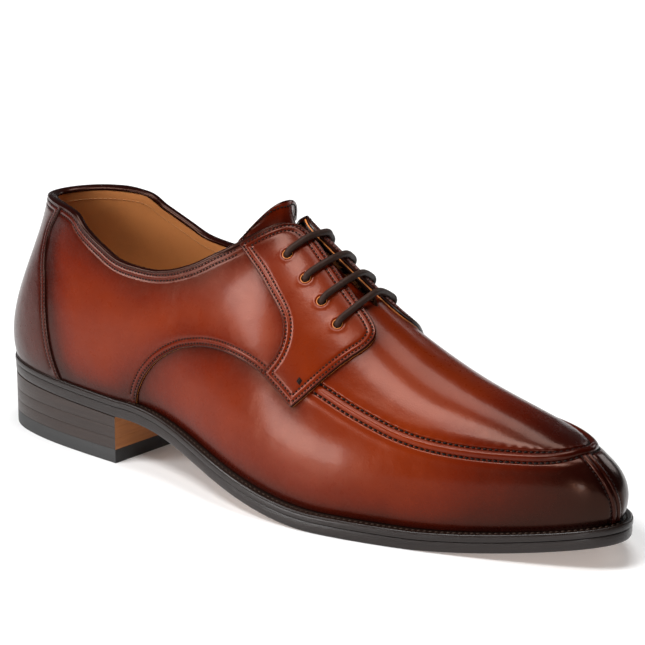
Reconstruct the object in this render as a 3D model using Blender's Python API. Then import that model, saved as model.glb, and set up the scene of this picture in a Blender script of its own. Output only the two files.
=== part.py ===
"""Apron toe derby, a right shoe, modelled on a parametric last.

Tables and sizes are in millimetres, and MM turns them into metres. +X points to the toe,
-Y to the lateral side and +Z up. The origin is on the floor under the middle of the heel.

The last's surface is surface(s, v). The station s runs round the shoe: 0 at the toe's tip, 9 at the
back of the heel along the lateral side, 18 at the toe again along the medial side. The height v
runs from 0 at the edge that meets the sole to 1 at the ridge over the foot.
"""
import bmesh
import bpy
import numpy as np
from mathutils import Matrix, Vector

MM = 0.001

SHOE_LENGTH = 313.0
BALL_WIDTH = 95.5
INSTEP_HEIGHT = 118.0
HEEL_HEIGHT = 20.6
HEEL_RISE_TO_BACK = 3.2
HEEL_LENGTH = 83.0
HEEL_MIDDLE = 42.0
TOE_SPRING = 11.0
TOE_SPRING_POWER = 1.6
ARCH_FULLNESS = 8.0
TREAD_START = 200.0
TREAD_END = 236.0

GAP = 0.3
WALL = 2.0
OUTSOLE_EDGE = 4.6
WELT_BOTTOM = OUTSOLE_EDGE + GAP
WELT_TOP = 7.6
WELT_WIDTH = 9.0
SOLE_BEVEL = 0.6
INSOLE_THICKNESS = 2.2
INSOLE_INSET = 7.2
TOP_LIFT_THICKNESS = 6.0
LIFT_THICKNESS = 5.0
HEEL_INSET = 0.4

QUARTER_RAISE = 1.3
FACING_RAISE = 2.4
COUNTER_RAISE = 2.2
SEAM_RAISE = 1.3
SEAM_SEAT = 0.5
APRON_SEAM_WIDTH = 5.0
TOE_SEAM_WIDTH = 4.4
CUTTER_DEPTH = 2.0
CUTTER_HEIGHT = 7.0

SIDES = (("lateral", -1), ("medial", 1))
EYELET_RADIUS = 2.2
PUNCH_LENGTH = 10.0
EYELET_SIDES = 16
LACE_RADIUS = 1.4
LACE_POINTS = 18
# One end of a lace bar: height over the eyelet's own, rise from the last
LACE_LEG = ((0.000, 1.0), (0.002, 3.8), (0.020, 5.1), (0.050, 5.2))
LACE_CREST = (0.96, 5.6)

TONGUE_DROP = 3.7
TONGUE_THICKNESS = 2.0

STATIONS_PER_ROW = 4
STEPS = 8
COLLAR_DROP = (5.3, 6.3)
WALL_ROWS = 11
HIGHEST_BAND_ROW = 0.985
BAND_STEP = 0.005
TRACE_POINTS = 33
MERGE_DISTANCE = 1e-6
SHARP_ANGLE = 0.7
HEEL_SEARCH = (5.5, 12.5, 2001)

# First and last station of the bands that the overlays are cut from
QUARTER_BAND = (4.75, 8.25)
FACING_BAND = (4.0, 6.25)
COUNTER_BAND = (7.0, 11.0)
# The overlays' lowest and highest height, and the stations left clear between two of them
QUARTER_HEIGHTS = (-0.05, 1.0)
FACING_HEIGHTS = (0.411, 1.0)
SEAM_CLEARANCE = 0.03
CUTTER_ROWS = 24
CUTTER_COLUMNS = 8
COUNTER_COLUMNS = 16
CUTTER_LOWEST = 0.001
CUTTER_NORMALS = (0.02, 0.98)
CUTTER_FALL = 100.0

# Section rows of the last, as shares of length (x), ball width (y) and instep height (z).
# name, lateral x, y, medial x, y, ridge x, ridge centre y, ridge half width, ridge z
SECTIONS = (
    ("toe", 1.000, 0.094, 1.000, 0.094, 0.922, 0.094, 0.000, 0.394),
    ("toe corner", 0.971, -0.031, 0.981, 0.241, 0.901, 0.084, 0.000, 0.411),
    ("toe box", 0.888, -0.162, 0.917, 0.408, 0.843, 0.063, 0.000, 0.458),
    ("forepart", 0.767, -0.319, 0.808, 0.518, 0.760, 0.037, 0.000, 0.525),
    ("ball", 0.626, -0.450, 0.684, 0.524, 0.671, 0.016, 0.000, 0.636),
    ("waist", 0.479, -0.461, 0.511, 0.366, 0.565, 0.000, 0.000, 0.822),
    ("instep", 0.345, -0.387, 0.351, 0.298, 0.441, 0.000, 0.115, 1.000),
    ("heel side", 0.192, -0.372, 0.192, 0.340, 0.274, 0.000, 0.245, 1.000),
    ("heel corner", 0.045, -0.283, 0.045, 0.272, 0.124, 0.000, 0.194, 0.966),
    ("heel back", 0.000, 0.000, 0.000, 0.000, 0.053, 0.000, 0.000, 0.949),
)
# How each section bulges, in millimetres.
# inset from the sole's edge, lateral out, up, medial out, up, reach from the ridge, lift
FULLNESS = (
    (4.0, 6.0, 18.0, 6.0, 18.0, 14.0, 0.0),
    (4.0, 6.0, 18.0, 7.0, 18.0, 15.0, 0.0),
    (4.5, 5.0, 21.0, 7.0, 21.0, 17.0, 0.0),
    (5.0, 6.0, 25.0, 5.0, 25.0, 19.0, 0.0),
    (5.0, 6.0, 29.0, 4.0, 29.0, 19.0, 0.0),
    (4.5, 5.0, 31.0, 2.0, 32.0, 21.0, 0.0),
    (4.0, 6.0, 31.0, 3.0, 34.0, 10.0, -18.0),
    (3.0, 7.0, 27.0, 6.0, 27.0, 0.0, -28.0),
    (3.0, 6.5, 26.0, 6.5, 26.0, 0.0, -26.0),
    (2.5, 7.0, 26.0, 7.0, 26.0, -3.0, -24.0),
)
HALF = len(SECTIONS) - 1
ROUND = 2 * HALF
RIDGE_CLOSES = 5.6
RIDGE_SHARPNESS = 8.0

# Where the upper's wall ends: station s, height v. Height 1 is the closed ridge ahead of the throat.
COLLAR = (
    (4.25, 1.000), (4.50, 0.905), (4.76, 0.925), (5.06, 0.945), (5.34, 0.960), (5.54, 0.970),
    (5.68, 0.940), (5.76, 0.895), (5.88, 0.820), (6.06, 0.745), (6.14, 0.700), (6.38, 0.640),
    (6.56, 0.625), (6.76, 0.630), (6.98, 0.650), (7.22, 0.705), (7.50, 0.775), (7.74, 0.850),
    (8.20, 0.870), (9.00, 0.865),
)
# Seams as station s at height v.
COUNTER_SEAM = (
    (-0.05, 7.22), (0.055, 7.26), (0.185, 7.38), (0.300, 7.50), (0.450, 7.68), (0.590, 7.90),
    (0.715, 8.02), (0.835, 7.96), (1.00, 7.86),
)
QUARTER_FRONT = (
    (-0.05, 6.31), (0.020, 6.30), (0.085, 6.26), (0.160, 6.20), (0.245, 6.08), (0.320, 5.90),
    (0.365, 5.68), (0.400, 5.42), (0.430, 5.16), (0.445, 5.04), (0.455, 4.84), (0.475, 4.82),
    (0.545, 4.80), (0.610, 4.82), (0.660, 4.90), (0.690, 5.02), (0.720, 5.24), (0.765, 5.56),
    (0.815, 5.80), (1.00, 5.98),
)
FACING_BACK = ((0.410, 4.42), (0.440, 4.64), (0.475, 4.82)) + QUARTER_FRONT[12:]
FACING_FRONT = (
    (0.410, 4.42), (0.550, 4.32), (0.665, 4.26), (0.790, 4.16), (0.835, 4.16), (0.895, 4.24),
    (0.920, 4.34), (0.930, 4.46), (0.950, 4.76), (0.970, 5.06), (0.985, 5.34), (1.00, 5.50),
)
FACING_TOP = (
    (4.00, 0.960), (4.46, 0.965), (5.06, 0.980), (5.34, 0.990), (5.50, 0.990), (5.62, 0.975),
    (5.70, 0.945), (5.76, 0.900), (5.90, 0.800), (6.20, 0.500),
)
# Seams that run along the shoe: station s, height v.
APRON_LINE = (
    (0.00, 0.830), (0.50, 0.795), (1.04, 0.685), (1.48, 0.615), (1.82, 0.580), (2.36, 0.535),
    (2.84, 0.510), (3.30, 0.500), (3.78, 0.525), (4.26, 0.545),
)
APRON_STEPS = 52
TOE_SEAM_LINE = ((0.030, 0.10), (0.270, 0.26), (0.500, 0.34), (0.730, 0.34))
TOE_SEAM_STEPS = 10
# Raised seams in section: share of the half width, share of the rise
SEAM_PROFILE = ((-1.0, 0.4), (-0.4, 1.0), (0.4, 1.0), (1.0, 0.4))
EYELETS = ((5.34, 0.870), (5.04, 0.850), (4.78, 0.830), (4.52, 0.805))
# The tongue's rows along the wall: station s at the middle, more at the side, half width
TONGUE_ROWS = (
    (3.75, 0.00, 14.0), (4.00, 0.00, 16.0), (4.25, 0.00, 17.5), (4.50, 0.00, 18.5),
    (4.75, 0.00, 19.0), (5.00, 0.10, 19.0), (5.25, 0.26, 18.5), (5.50, 0.44, 18.0),
)
# Its end edge, from the middle: forward from the heel's back, up, half width, fall at the sides
TONGUE_EDGE_X = 146.0
TONGUE_EDGE_Z = 118.5
TONGUE_EDGE_HALF_WIDTH = 14.5
TONGUE_EDGE_FALL = (10.0, 0.0, 16.0)
TONGUE_EDGE_ROWS = 3
TONGUE_LEAN = (0.75, 0.0, 0.65)
TONGUE_SIDE_POWER = 0.6
TONGUE_COLUMNS = 10

COLOURS = {
    "leather": ((0.150, 0.040, 0.018), 0.32),
    "sole_edge": ((0.018, 0.011, 0.009), 0.38),
    "heel_leather": ((0.022, 0.012, 0.009), 0.40),
    "rubber": ((0.010, 0.009, 0.009), 0.55),
    "insole_leather": ((0.420, 0.210, 0.090), 0.55),
    "lace": ((0.020, 0.012, 0.010), 0.50),
}


def closed_spline(rows):
    """Smooth closed curve through rows, one row per station, as a function of the station."""
    values = np.asarray(rows, float)
    count = len(values)
    matrix = 4 * np.eye(count) + np.roll(np.eye(count), 1, 0) + np.roll(np.eye(count), -1, 0)
    slopes = np.linalg.solve(matrix, 3 * (np.roll(values, -1, 0) - np.roll(values, 1, 0)))

    def at(station):
        station = np.asarray(station, float) % count
        index = np.floor(station).astype(int) % count
        t = (station - np.floor(station))[..., None]
        after = (index + 1) % count
        return (
            values[index] * (1 + 2 * t) * (1 - t) ** 2
            + slopes[index] * t * (1 - t) ** 2
            + values[after] * t * t * (3 - 2 * t)
            + slopes[after] * t * t * (t - 1)
        )

    return at


def round_the_shoe(lateral, medial):
    """Lateral rows from toe to heel, then medial rows back to the toe."""
    return list(lateral) + list(medial)[-2:0:-1]


def edge_rows(x_column, y_column):
    """Plan points of the sole's edge on one side, from SECTIONS."""
    return [(row[x_column] * SHOE_LENGTH, row[y_column] * BALL_WIDTH) for row in SECTIONS]


def ridge_rows(side):
    """Points of one side's ridge edge, or of its middle for side 0."""
    return [
        (row[5] * SHOE_LENGTH, (row[6] + side * row[7]) * BALL_WIDTH, row[8] * INSTEP_HEIGHT)
        for row in SECTIONS
    ]


def fullness_rows(out_column, up_column):
    """One side's rows of FULLNESS: inset, out, up, reach, lift."""
    return [(row[0], row[out_column], row[up_column], row[5], row[6]) for row in FULLNESS]


sole_edge = closed_spline(round_the_shoe(edge_rows(1, 2), edge_rows(3, 4)))
ridge_edge = closed_spline(round_the_shoe(ridge_rows(-1), ridge_rows(1)))
ridge_middle = closed_spline(round_the_shoe(ridge_rows(0), ridge_rows(0)))
fullness = closed_spline(round_the_shoe(fullness_rows(1, 2), fullness_rows(3, 4)))


def sole_outline(s, inset=0.0):
    """Plan points of the sole's edge, moved inward, and the outward direction there."""
    step = 1e-3
    point = sole_edge(s)
    along = sole_edge(np.asarray(s) + step) - sole_edge(np.asarray(s) - step)
    outward = np.stack([-along[..., 1], along[..., 0]], -1)
    outward /= np.linalg.norm(outward, axis=-1, keepdims=True)
    return point - outward * inset, outward


def sole_bottom(x):
    """Height of the outsole's underside: heel seat, arch, flat tread and toe spring."""
    x = np.asarray(x, float)
    t = np.clip((TREAD_START - x) / (TREAD_START - HEEL_LENGTH), 0, 1)
    arch = HEEL_HEIGHT * t * t * (3 - 2 * t) + ARCH_FULLNESS * (t * t - t ** 3)
    seat = HEEL_HEIGHT + HEEL_RISE_TO_BACK * (HEEL_LENGTH - x) / HEEL_LENGTH
    toe = np.clip((x - TREAD_END) / (SHOE_LENGTH - TREAD_END), 0, 1.05)
    return np.where(x < HEEL_LENGTH, seat, arch) + TOE_SPRING * toe ** TOE_SPRING_POWER


def folded(s):
    """The lateral station that faces a station of either side."""
    s = np.asarray(s, float) % ROUND
    return np.where(s > HALF, ROUND - s, s)


def ridge_share(s):
    """1 where the two sides meet on the ridge, falling to 0 where the collar opens."""
    return 1 / (1 + np.exp((folded(s) - RIDGE_CLOSES) * RIDGE_SHARPNESS))


def meridian(s):
    """The four Bezier points of the last's section at station s."""
    s = np.asarray(s, float)
    inset, out, up, reach, lift = np.moveaxis(fullness(s), -1, 0)
    plan, outward = sole_outline(s, inset[..., None])
    foot = np.concatenate([plan, (sole_bottom(plan[..., 0]) + WELT_TOP + GAP)[..., None]], -1)
    share = ridge_share(s)
    top = ridge_edge(s)
    middle = ridge_middle(s)
    top[..., 1] += (middle[..., 1] - top[..., 1]) * share
    step = 1e-2
    inland = np.clip(folded(s), 2 * step, HALF - 2 * step)
    run = ridge_middle(inland + step) - ridge_middle(inland - step)
    slope = run[..., 2] / run[..., 0]
    rise = lift * (1 - share) + share * slope * outward[..., 0] * reach
    lower = np.concatenate([foot[..., :2] + outward * out[..., None], foot[..., 2:] + up[..., None]], -1)
    upper = np.concatenate([top[..., :2] + outward * reach[..., None], top[..., 2:] + rise[..., None]], -1)
    return np.stack([foot, lower, upper, top], -2)


def bezier(points, t):
    weights = np.stack([(1 - t) ** 3, 3 * t * (1 - t) ** 2, 3 * t * t * (1 - t), t ** 3], -1)
    return (weights[..., None] * points).sum(-2)


def surface(s, v):
    """Point of the last at station s and height v, v being a share of the section's length."""
    s, v = np.broadcast_arrays(np.asarray(s, float), np.asarray(v, float))
    points = meridian(s)
    t = np.linspace(0, 1, TRACE_POINTS)
    trace = bezier(points[..., None, :, :], t)
    steps = np.linalg.norm(np.diff(trace, axis=-2), axis=-1)
    length = np.concatenate([np.zeros(s.shape + (1,)), np.cumsum(steps, -1)], -1)
    length = length.reshape(-1, len(t))
    parameter = [np.interp(share * row[-1], row, t) for share, row in zip(v.ravel(), length)]
    return bezier(points, np.reshape(parameter, s.shape))


def outward(s, v):
    """Unit normal of the last, pointing out."""
    step = 4e-3
    v = np.clip(v, 0, 1)
    along = surface(s + step, v) - surface(s - step, v)
    up = surface(s, np.minimum(v + step, 1)) - surface(s, np.maximum(v - step, 0))
    normal = np.cross(up, along)
    return normal / np.linalg.norm(normal, axis=-1, keepdims=True)


def skin(s, v, offset):
    """The last's surface moved out by offset. Its lowest row moves level, along the sole."""
    s, v = np.broadcast_arrays(np.asarray(s, float), np.asarray(v, float))
    normal = outward(s, v)
    level = normal.copy()
    level[..., 2] = 0
    level /= np.linalg.norm(level, axis=-1, keepdims=True)
    normal = np.where((v <= 0)[..., None], level, normal)
    return surface(s, v) + normal * np.asarray(offset)[..., None]


def mirrored(s, side):
    """The station as it is on the lateral side (-1), or its partner on the medial side (1)."""
    return s if side < 0 else ROUND - s


def table(rows, at):
    """Piecewise straight reading of a two-column table."""
    columns = np.array(rows)
    return np.interp(at, columns[:, 0], columns[:, 1])


def collar_height(s):
    return table(COLLAR, folded(s))


def wall_stations(first, last):
    """The stations of the upper's sections between two stations, closer where the collar drops."""
    fine = np.arange(np.ceil(first * STEPS), last * STEPS + 0.5) / STEPS
    close = (folded(fine) > COLLAR_DROP[0]) & (folded(fine) < COLLAR_DROP[1])
    return fine[close | (fine * STEPS % 2 == 0)]


def to_world(points):
    """Millimetres from the heel's back to metres from the middle of the heel."""
    return (np.asarray(points) - (HEEL_MIDDLE, 0, 0)) * MM


def new_material(name):
    colour, roughness = COLOURS[name]
    material = bpy.data.materials.new(name)
    material.use_nodes = True
    principled = material.node_tree.nodes["Principled BSDF"]
    principled.inputs["Base Color"].default_value = (*colour, 1)
    principled.inputs["Roughness"].default_value = roughness
    principled.inputs["Metallic"].default_value = 0.0
    material.diffuse_color = (*colour, 1)
    return material


def add_object(name, shape, material=None):
    """Turn a bmesh into an object: a part where it has a material, else a cutter."""
    bmesh.ops.remove_doubles(shape, verts=shape.verts, dist=MERGE_DISTANCE)
    bmesh.ops.recalc_face_normals(shape, faces=shape.faces)
    if shape.calc_volume(signed=True) < 0:
        bmesh.ops.reverse_faces(shape, faces=shape.faces)
    mesh = bpy.data.meshes.new(name)
    shape.to_mesh(mesh)
    shape.free()
    thing = bpy.data.objects.new(name, mesh)
    if material is None:
        cutters.objects.link(thing)
        thing.hide_render = True
        thing.display_type = "WIRE"
    else:
        shoe.objects.link(thing)
        mesh.materials.append(materials[material])
        mesh.shade_smooth()
        mesh.set_sharp_from_angle(angle=SHARP_ANGLE)
    return thing


def add_faces(shape, grid, faces):
    """Add a grid of points and the faces given as lists of grid positions."""
    vertices = [shape.verts.new(Vector(point)) for point in to_world(grid)]
    for face in faces:
        shape.faces.new([vertices[index] for index in face])


def sheet(name, outer, inner, material=None, wrap=False, meets=None):
    """Solid between two grids of points. Columns marked in meets have no rim at the top.

    Both grids are split along the same diagonals, so that nested sheets stay parallel.
    """
    columns, rows = outer.shape[:2]
    start = columns * rows
    meets = [False] * columns if meets is None else meets
    faces = []
    for i in range(columns if wrap else columns - 1):
        k = (i + 1) % columns
        for j in range(rows - 1):
            a, b = i * rows + j, k * rows + j
            for triangle in ([a, a + 1, b + 1], [a, b + 1, b]):
                faces.append(triangle)
                faces.append([start + index for index in reversed(triangle)])
        faces.append([i * rows, k * rows, start + k * rows, start + i * rows])
        if not (meets[i] and meets[k]):
            a = i * rows + rows - 1
            b = k * rows + rows - 1
            faces.append([b, a, start + a, start + b])
    if not wrap:
        for i, turn in ((0, 1), (columns - 1, -1)):
            for j in range(rows - 1):
                a = i * rows + j
                faces.append([a + 1, a, start + a, start + a + 1][::turn])
    shape = bmesh.new()
    add_faces(shape, np.concatenate([outer.reshape(-1, 3), inner.reshape(-1, 3)]), faces)
    return add_object(name, shape, material)


def sole_ring(s, inset, height):
    """Points round the sole at one inset and one height over its underside."""
    plan, _ = sole_outline(s, inset)
    return np.concatenate([plan, (sole_bottom(plan[..., 0]) + height)[..., None]], -1)


def plate(name, profile, material, columns=4):
    """Closed plate of the sole's plan. profile: (inset, height) rows from underside to top."""
    half = np.linspace(0, HALF, HALF * STATIONS_PER_ROW + 1)
    across = np.linspace(0, 1, columns + 1)[None, :, None]
    grids = []
    for inset, height in (profile[0], profile[-1]):
        lateral = sole_ring(half, inset, 0)[:, None]
        medial = sole_ring(ROUND - half, inset, 0)[:, None]
        grid = lateral * (1 - across) + medial * across
        grid[..., 2] = sole_bottom(grid[..., 0]) + height
        grids.append(grid)
    around = np.linspace(0, ROUND, ROUND * STATIONS_PER_ROW, endpoint=False)
    rings = np.stack([sole_ring(around, inset, height) for inset, height in profile])
    shape = bmesh.new()
    width = columns + 1
    count = len(half)
    for grid in grids:
        faces = [
            [i * width + j, (i + 1) * width + j, (i + 1) * width + j + 1, i * width + j + 1]
            for i in range(count - 1) for j in range(columns)
        ]
        add_faces(shape, grid.reshape(-1, 3), faces)
    add_faces(shape, rings.reshape(-1, 3), ring_faces(len(profile), len(around))[:-len(around)])
    add_object(name, shape, material)


def ring_faces(rings, length):
    """Faces between rings of points, row by row, the last row closing back to the first ring."""
    return [
        [r * length + i, (r + 1) % rings * length + i, (r + 1) % rings * length + (i + 1) % length,
         r * length + (i + 1) % length]
        for r in range(rings) for i in range(length)
    ]


def make_outsole():
    """Leather outsole with a raised middle that fills the welt's opening."""
    step_inset = WELT_WIDTH + GAP
    profile = (
        (SOLE_BEVEL + GAP, 0), (GAP, SOLE_BEVEL), (GAP, OUTSOLE_EDGE),
        (step_inset, OUTSOLE_EDGE), (step_inset, WELT_TOP),
    )
    plate("outsole", profile, "sole_edge")


def make_welt():
    """Flat ring that carries the upper, as a profile run round the sole."""
    profile = (
        (GAP, WELT_BOTTOM), (0, WELT_BOTTOM + GAP), (0, WELT_TOP - SOLE_BEVEL),
        (GAP, WELT_TOP), (WELT_WIDTH, WELT_TOP), (WELT_WIDTH, WELT_BOTTOM),
    )
    around = np.linspace(0, ROUND, ROUND * STATIONS_PER_ROW, endpoint=False)
    rings = np.stack([sole_ring(around, inset, height) for inset, height in profile])
    shape = bmesh.new()
    add_faces(shape, rings.reshape(-1, 3), ring_faces(len(profile), len(around)))
    add_object("welt", shape, "sole_edge")


def make_insole():
    """Insole on the outsole's raised middle, clear of the upper's wall."""
    bottom = WELT_TOP + GAP
    profile = ((INSOLE_INSET, bottom), (INSOLE_INSET, bottom + INSOLE_THICKNESS))
    plate("insole", profile, "insole_leather")


def heel_plan():
    """Plan of the heel: the sole's edge behind the breast, closed by the straight breast."""
    fine = np.linspace(*HEEL_SEARCH)
    plan, _ = sole_outline(fine, HEEL_INSET)
    inside = fine[plan[:, 0] < HEEL_LENGTH]
    first, last = inside[0], inside[-1]
    stations = np.arange(
        np.ceil(first * STATIONS_PER_ROW) / STATIONS_PER_ROW, last, 1 / STATIONS_PER_ROW,
    )
    stations = np.concatenate([[first], stations, [last]])
    plan, _ = sole_outline(stations, HEEL_INSET)
    plan[[0, -1], 0] = HEEL_LENGTH
    return plan


def heel_slab(name, bottom, top, material):
    """Slab of the heel's plan between two levels; top None follows the sole's underside."""
    plan = heel_plan()
    low = np.column_stack([plan, np.full(len(plan), bottom)])
    roof = sole_bottom(plan[:, 0] - 1e-3) - GAP if top is None else np.full(len(plan), top)
    high = np.column_stack([plan, roof])
    count = len(plan)
    faces = [[i, (i + 1) % count, count + (i + 1) % count, count + i] for i in range(count)]
    faces += [list(range(count)), list(range(2 * count - 1, count - 1, -1))]
    shape = bmesh.new()
    add_faces(shape, np.concatenate([low, high]), faces)
    add_object(name, shape, material)


def make_heel():
    """Rubber top lift and three leather lifts, the last one fitted to the sole."""
    heel_slab("top_lift", 0, TOP_LIFT_THICKNESS, "rubber")
    level = TOP_LIFT_THICKNESS
    for number, last in ((1, False), (2, False), (3, True)):
        top = None if last else level + LIFT_THICKNESS
        heel_slab(f"heel_lift_{number}", level + GAP, top, "heel_leather")
        level += LIFT_THICKNESS


def wall_grid(stations, heights, offset):
    """Grid of skin points; where the ridge is closed the top points of both sides agree."""
    s = np.repeat(stations[:, None], heights.shape[1], 1)
    grid = skin(s, heights, offset)
    for i in np.flatnonzero(heights[:, -1] >= 1):
        partner = skin(np.array(ROUND - stations[i]), np.array(1.0), offset)
        grid[i, -1] = (grid[i, -1] + partner) / 2
    return grid


def make_upper():
    """One hollow shell: vamp, sides and heel, open at collar, throat and underneath."""
    stations = wall_stations(0, ROUND)[:-1]
    heights = collar_height(stations)[:, None] * np.linspace(0, 1, WALL_ROWS + 1)
    outer = wall_grid(stations, heights, 0)
    inner = wall_grid(stations, heights, -WALL)
    meets = heights[:, -1] >= 1
    upper = sheet("upper", outer, inner, "leather", wrap=True, meets=meets)
    for punch in punches.values():
        cut(upper, punch)


def overlay_form(name, first, last, raise_by, top_table=None):
    """Band over the upper between stations, from GAP to raise_by, on the upper's own rows."""
    stations = wall_stations(first, last)
    heights = collar_height(stations)[:, None] * np.linspace(0, 1, WALL_ROWS + 1)
    if top_table is not None:
        heights[:, -1] = np.minimum(heights[:, -1], HIGHEST_BAND_ROW)
        edge = np.maximum(table(top_table, folded(stations)), heights[:, -1] + BAND_STEP)
        heights = np.concatenate([heights, edge[:, None]], 1)
    s = np.repeat(stations[:, None], heights.shape[1], 1)
    return sheet(name, skin(s, heights, raise_by), skin(s, heights, GAP), "leather")


def patch_cutter(name, first, last, heights, columns=CUTTER_COLUMNS):
    """Cutter over the region between two seams, given as their stations at the heights."""
    share = np.linspace(0, 1, columns + 1)[:, None]
    stations = first * (1 - share) + last * share
    heights = np.repeat(heights[None, :], columns + 1, 0)
    inside = surface_beyond(stations, heights, -CUTTER_DEPTH)
    outside = surface_beyond(stations, heights, CUTTER_HEIGHT)
    return sheet(name, outside, inside)


def surface_beyond(s, v, offset):
    """The offset surface, continued straight below v = 0."""
    low = np.clip(v, CUTTER_LOWEST, 1)
    normal = outward(s, np.clip(v, *CUTTER_NORMALS))
    down = np.minimum(v, 0)[..., None] * (0, 0, CUTTER_FALL)
    return surface(s, low) + normal * offset + down


def beside(s, v, distance):
    """Stations and heights of a line moved sideways over the surface, to the right going along."""
    step = 1e-3
    v = np.clip(v, step, 1 - step)
    by_s = (surface(s + step, v) - surface(s - step, v)) / (2 * step)
    by_v = (surface(s, v + step) - surface(s, v - step)) / (2 * step)
    along = np.gradient(surface(s, v), axis=0)
    across = np.cross(along, outward(s, v))
    across *= distance / np.linalg.norm(across, axis=1, keepdims=True)
    moves = [np.linalg.lstsq(np.stack(pair, 1), way, rcond=None)[0]
             for *pair, way in zip(by_s, by_v, across)]
    moves = np.array(moves)
    return s + moves[:, 0], v + moves[:, 1]


def raised_seam(name, s, v, width):
    """Rounded strip along a line on the upper, GAP above its wall."""
    outer = []
    inner = []
    for share, rise in SEAM_PROFILE:
        side_s, side_v = beside(s, v, share * width / 2)
        outer.append(skin(side_s, side_v, SEAM_SEAT + rise * SEAM_RAISE))
        inner.append(skin(side_s, side_v, SEAM_SEAT))
    sheet(name, np.stack(outer, 1), np.stack(inner, 1), "leather")


def cut(thing, cutter, operation="DIFFERENCE"):
    modifier = thing.modifiers.new(operation.lower(), "BOOLEAN")
    modifier.operation = operation
    modifier.solver = "EXACT"
    modifier.object = cutter


def make_eyelet_punch(label, side):
    """The cylinders that punch one side's lace holes, standing square on the flap."""
    shape = bmesh.new()
    for s, v in EYELETS:
        station = np.array(mirrored(s, side))
        height = np.array(v)
        turn = Vector((0, 0, 1)).rotation_difference(Vector(outward(station, height)))
        place = Matrix.Translation(Vector(to_world(surface(station, height)))) @ turn.to_matrix().to_4x4()
        bmesh.ops.create_cone(
            shape, cap_ends=True, segments=EYELET_SIDES, radius1=EYELET_RADIUS * MM,
            radius2=EYELET_RADIUS * MM, depth=PUNCH_LENGTH * MM, matrix=place,
        )
    return add_object(f"eyelet_punch_{label}", shape)


def band(stations, side):
    """A band's first and last station, on either side, in rising order."""
    return sorted(mirrored(station, side) for station in stations)


def make_side(label, side):
    """Quarter and facing of one side, cut from bands over the upper."""
    quarter = overlay_form(f"quarter_{label}", *band(QUARTER_BAND, side), QUARTER_RAISE)
    heights = np.linspace(*QUARTER_HEIGHTS, CUTTER_ROWS + 1)
    back = table(COUNTER_SEAM, heights) - SEAM_CLEARANCE
    front = table(QUARTER_FRONT, heights) + SEAM_CLEARANCE
    shape = patch_cutter(
        f"quarter_{label}_shape", mirrored(front, side), mirrored(back, side), heights,
    )
    cut(quarter, shape, "INTERSECT")
    facing = overlay_form(
        f"facing_{label}", *band(FACING_BAND, side), FACING_RAISE, top_table=FACING_TOP,
    )
    heights = np.linspace(*FACING_HEIGHTS, CUTTER_ROWS + 1)
    back = table(FACING_BACK, heights)
    front = table(FACING_FRONT, heights)
    shape = patch_cutter(
        f"facing_{label}_shape", mirrored(front, side), mirrored(back, side), heights,
    )
    cut(facing, punches[label])
    cut(facing, shape, "INTERSECT")


def make_counter():
    """Overlay round the heel, between the two counter seams."""
    counter = overlay_form("counter", *COUNTER_BAND, COUNTER_RAISE)
    heights = np.linspace(*QUARTER_HEIGHTS, CUTTER_ROWS + 1)
    edge = table(COUNTER_SEAM, heights)
    shape = patch_cutter("counter_shape", edge, ROUND - edge, heights, COUNTER_COLUMNS)
    cut(counter, shape, "INTERSECT")


def make_seams():
    """The raised apron seam and the split toe seam below its tip."""
    end = APRON_LINE[-1][0]
    s = np.linspace(-end, end, APRON_STEPS + 1)
    raised_seam("apron_seam", s, table(APRON_LINE, abs(s)), APRON_SEAM_WIDTH)
    v = np.linspace(TOE_SEAM_LINE[0][0], TOE_SEAM_LINE[-1][0], TOE_SEAM_STEPS + 1)
    raised_seam("toe_seam", table(TOE_SEAM_LINE, v), v, TOE_SEAM_WIDTH)


def tongue_row(s, spread, half_width, offset):
    """Points across the tongue, along the inside of the wall."""
    share = np.linspace(-1, 1, TONGUE_COLUMNS + 1)
    stations = s + spread * abs(share) ** TONGUE_SIDE_POWER
    stations = np.where(share < 0, stations, ROUND - stations)
    trace = bezier(meridian(stations)[:, None], np.linspace(0, 1, TRACE_POINTS))
    length = np.linalg.norm(np.diff(trace, axis=1), axis=2).sum(1)
    points = skin(stations, 1 - abs(share) * half_width / length, offset)
    middle = TONGUE_COLUMNS // 2
    points[middle, 1] = (points[middle - 1, 1] + points[middle + 1, 1]) / 2
    return points


def make_tongue():
    """Sheet under the flaps, parallel to the upper's inside, with its end standing up."""
    share = np.linspace(-1, 1, TONGUE_COLUMNS + 1)
    sheets = []
    for offset in (-TONGUE_DROP, -TONGUE_DROP - TONGUE_THICKNESS):
        rows = [tongue_row(*row, offset) for row in TONGUE_ROWS]
        edge = np.zeros((len(share), 3)) + (TONGUE_EDGE_X, 0, TONGUE_EDGE_Z)
        edge[:, 1] = share * TONGUE_EDGE_HALF_WIDTH
        edge -= (share ** 2)[:, None] * TONGUE_EDGE_FALL
        edge += np.array(TONGUE_LEAN) * (offset + TONGUE_DROP)
        base = rows[-1]
        blends = np.linspace(0, 1, TONGUE_EDGE_ROWS + 1)[1:]
        rows += [base + (edge - base) * blend for blend in blends]
        sheets.append(np.array(rows)[::-1])
    sheet("tongue", *sheets, "leather")


def smooth_path(points, count):
    """Catmull-Rom reading of a list of points."""
    points = np.asarray(points, float)
    padded = np.concatenate([[2 * points[0] - points[1]], points, [2 * points[-1] - points[-2]]])
    path = []
    for position in np.linspace(0, len(points) - 1, count):
        i = min(int(position), len(points) - 2)
        t = position - i
        a, b, c, d = padded[i:i + 4]
        path.append(
            0.5 * (2 * b + (c - a) * t + (2 * a - 5 * b + 4 * c - d) * t * t
                   + (3 * b - a - 3 * c + d) * t ** 3)
        )
    return np.array(path)


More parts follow.
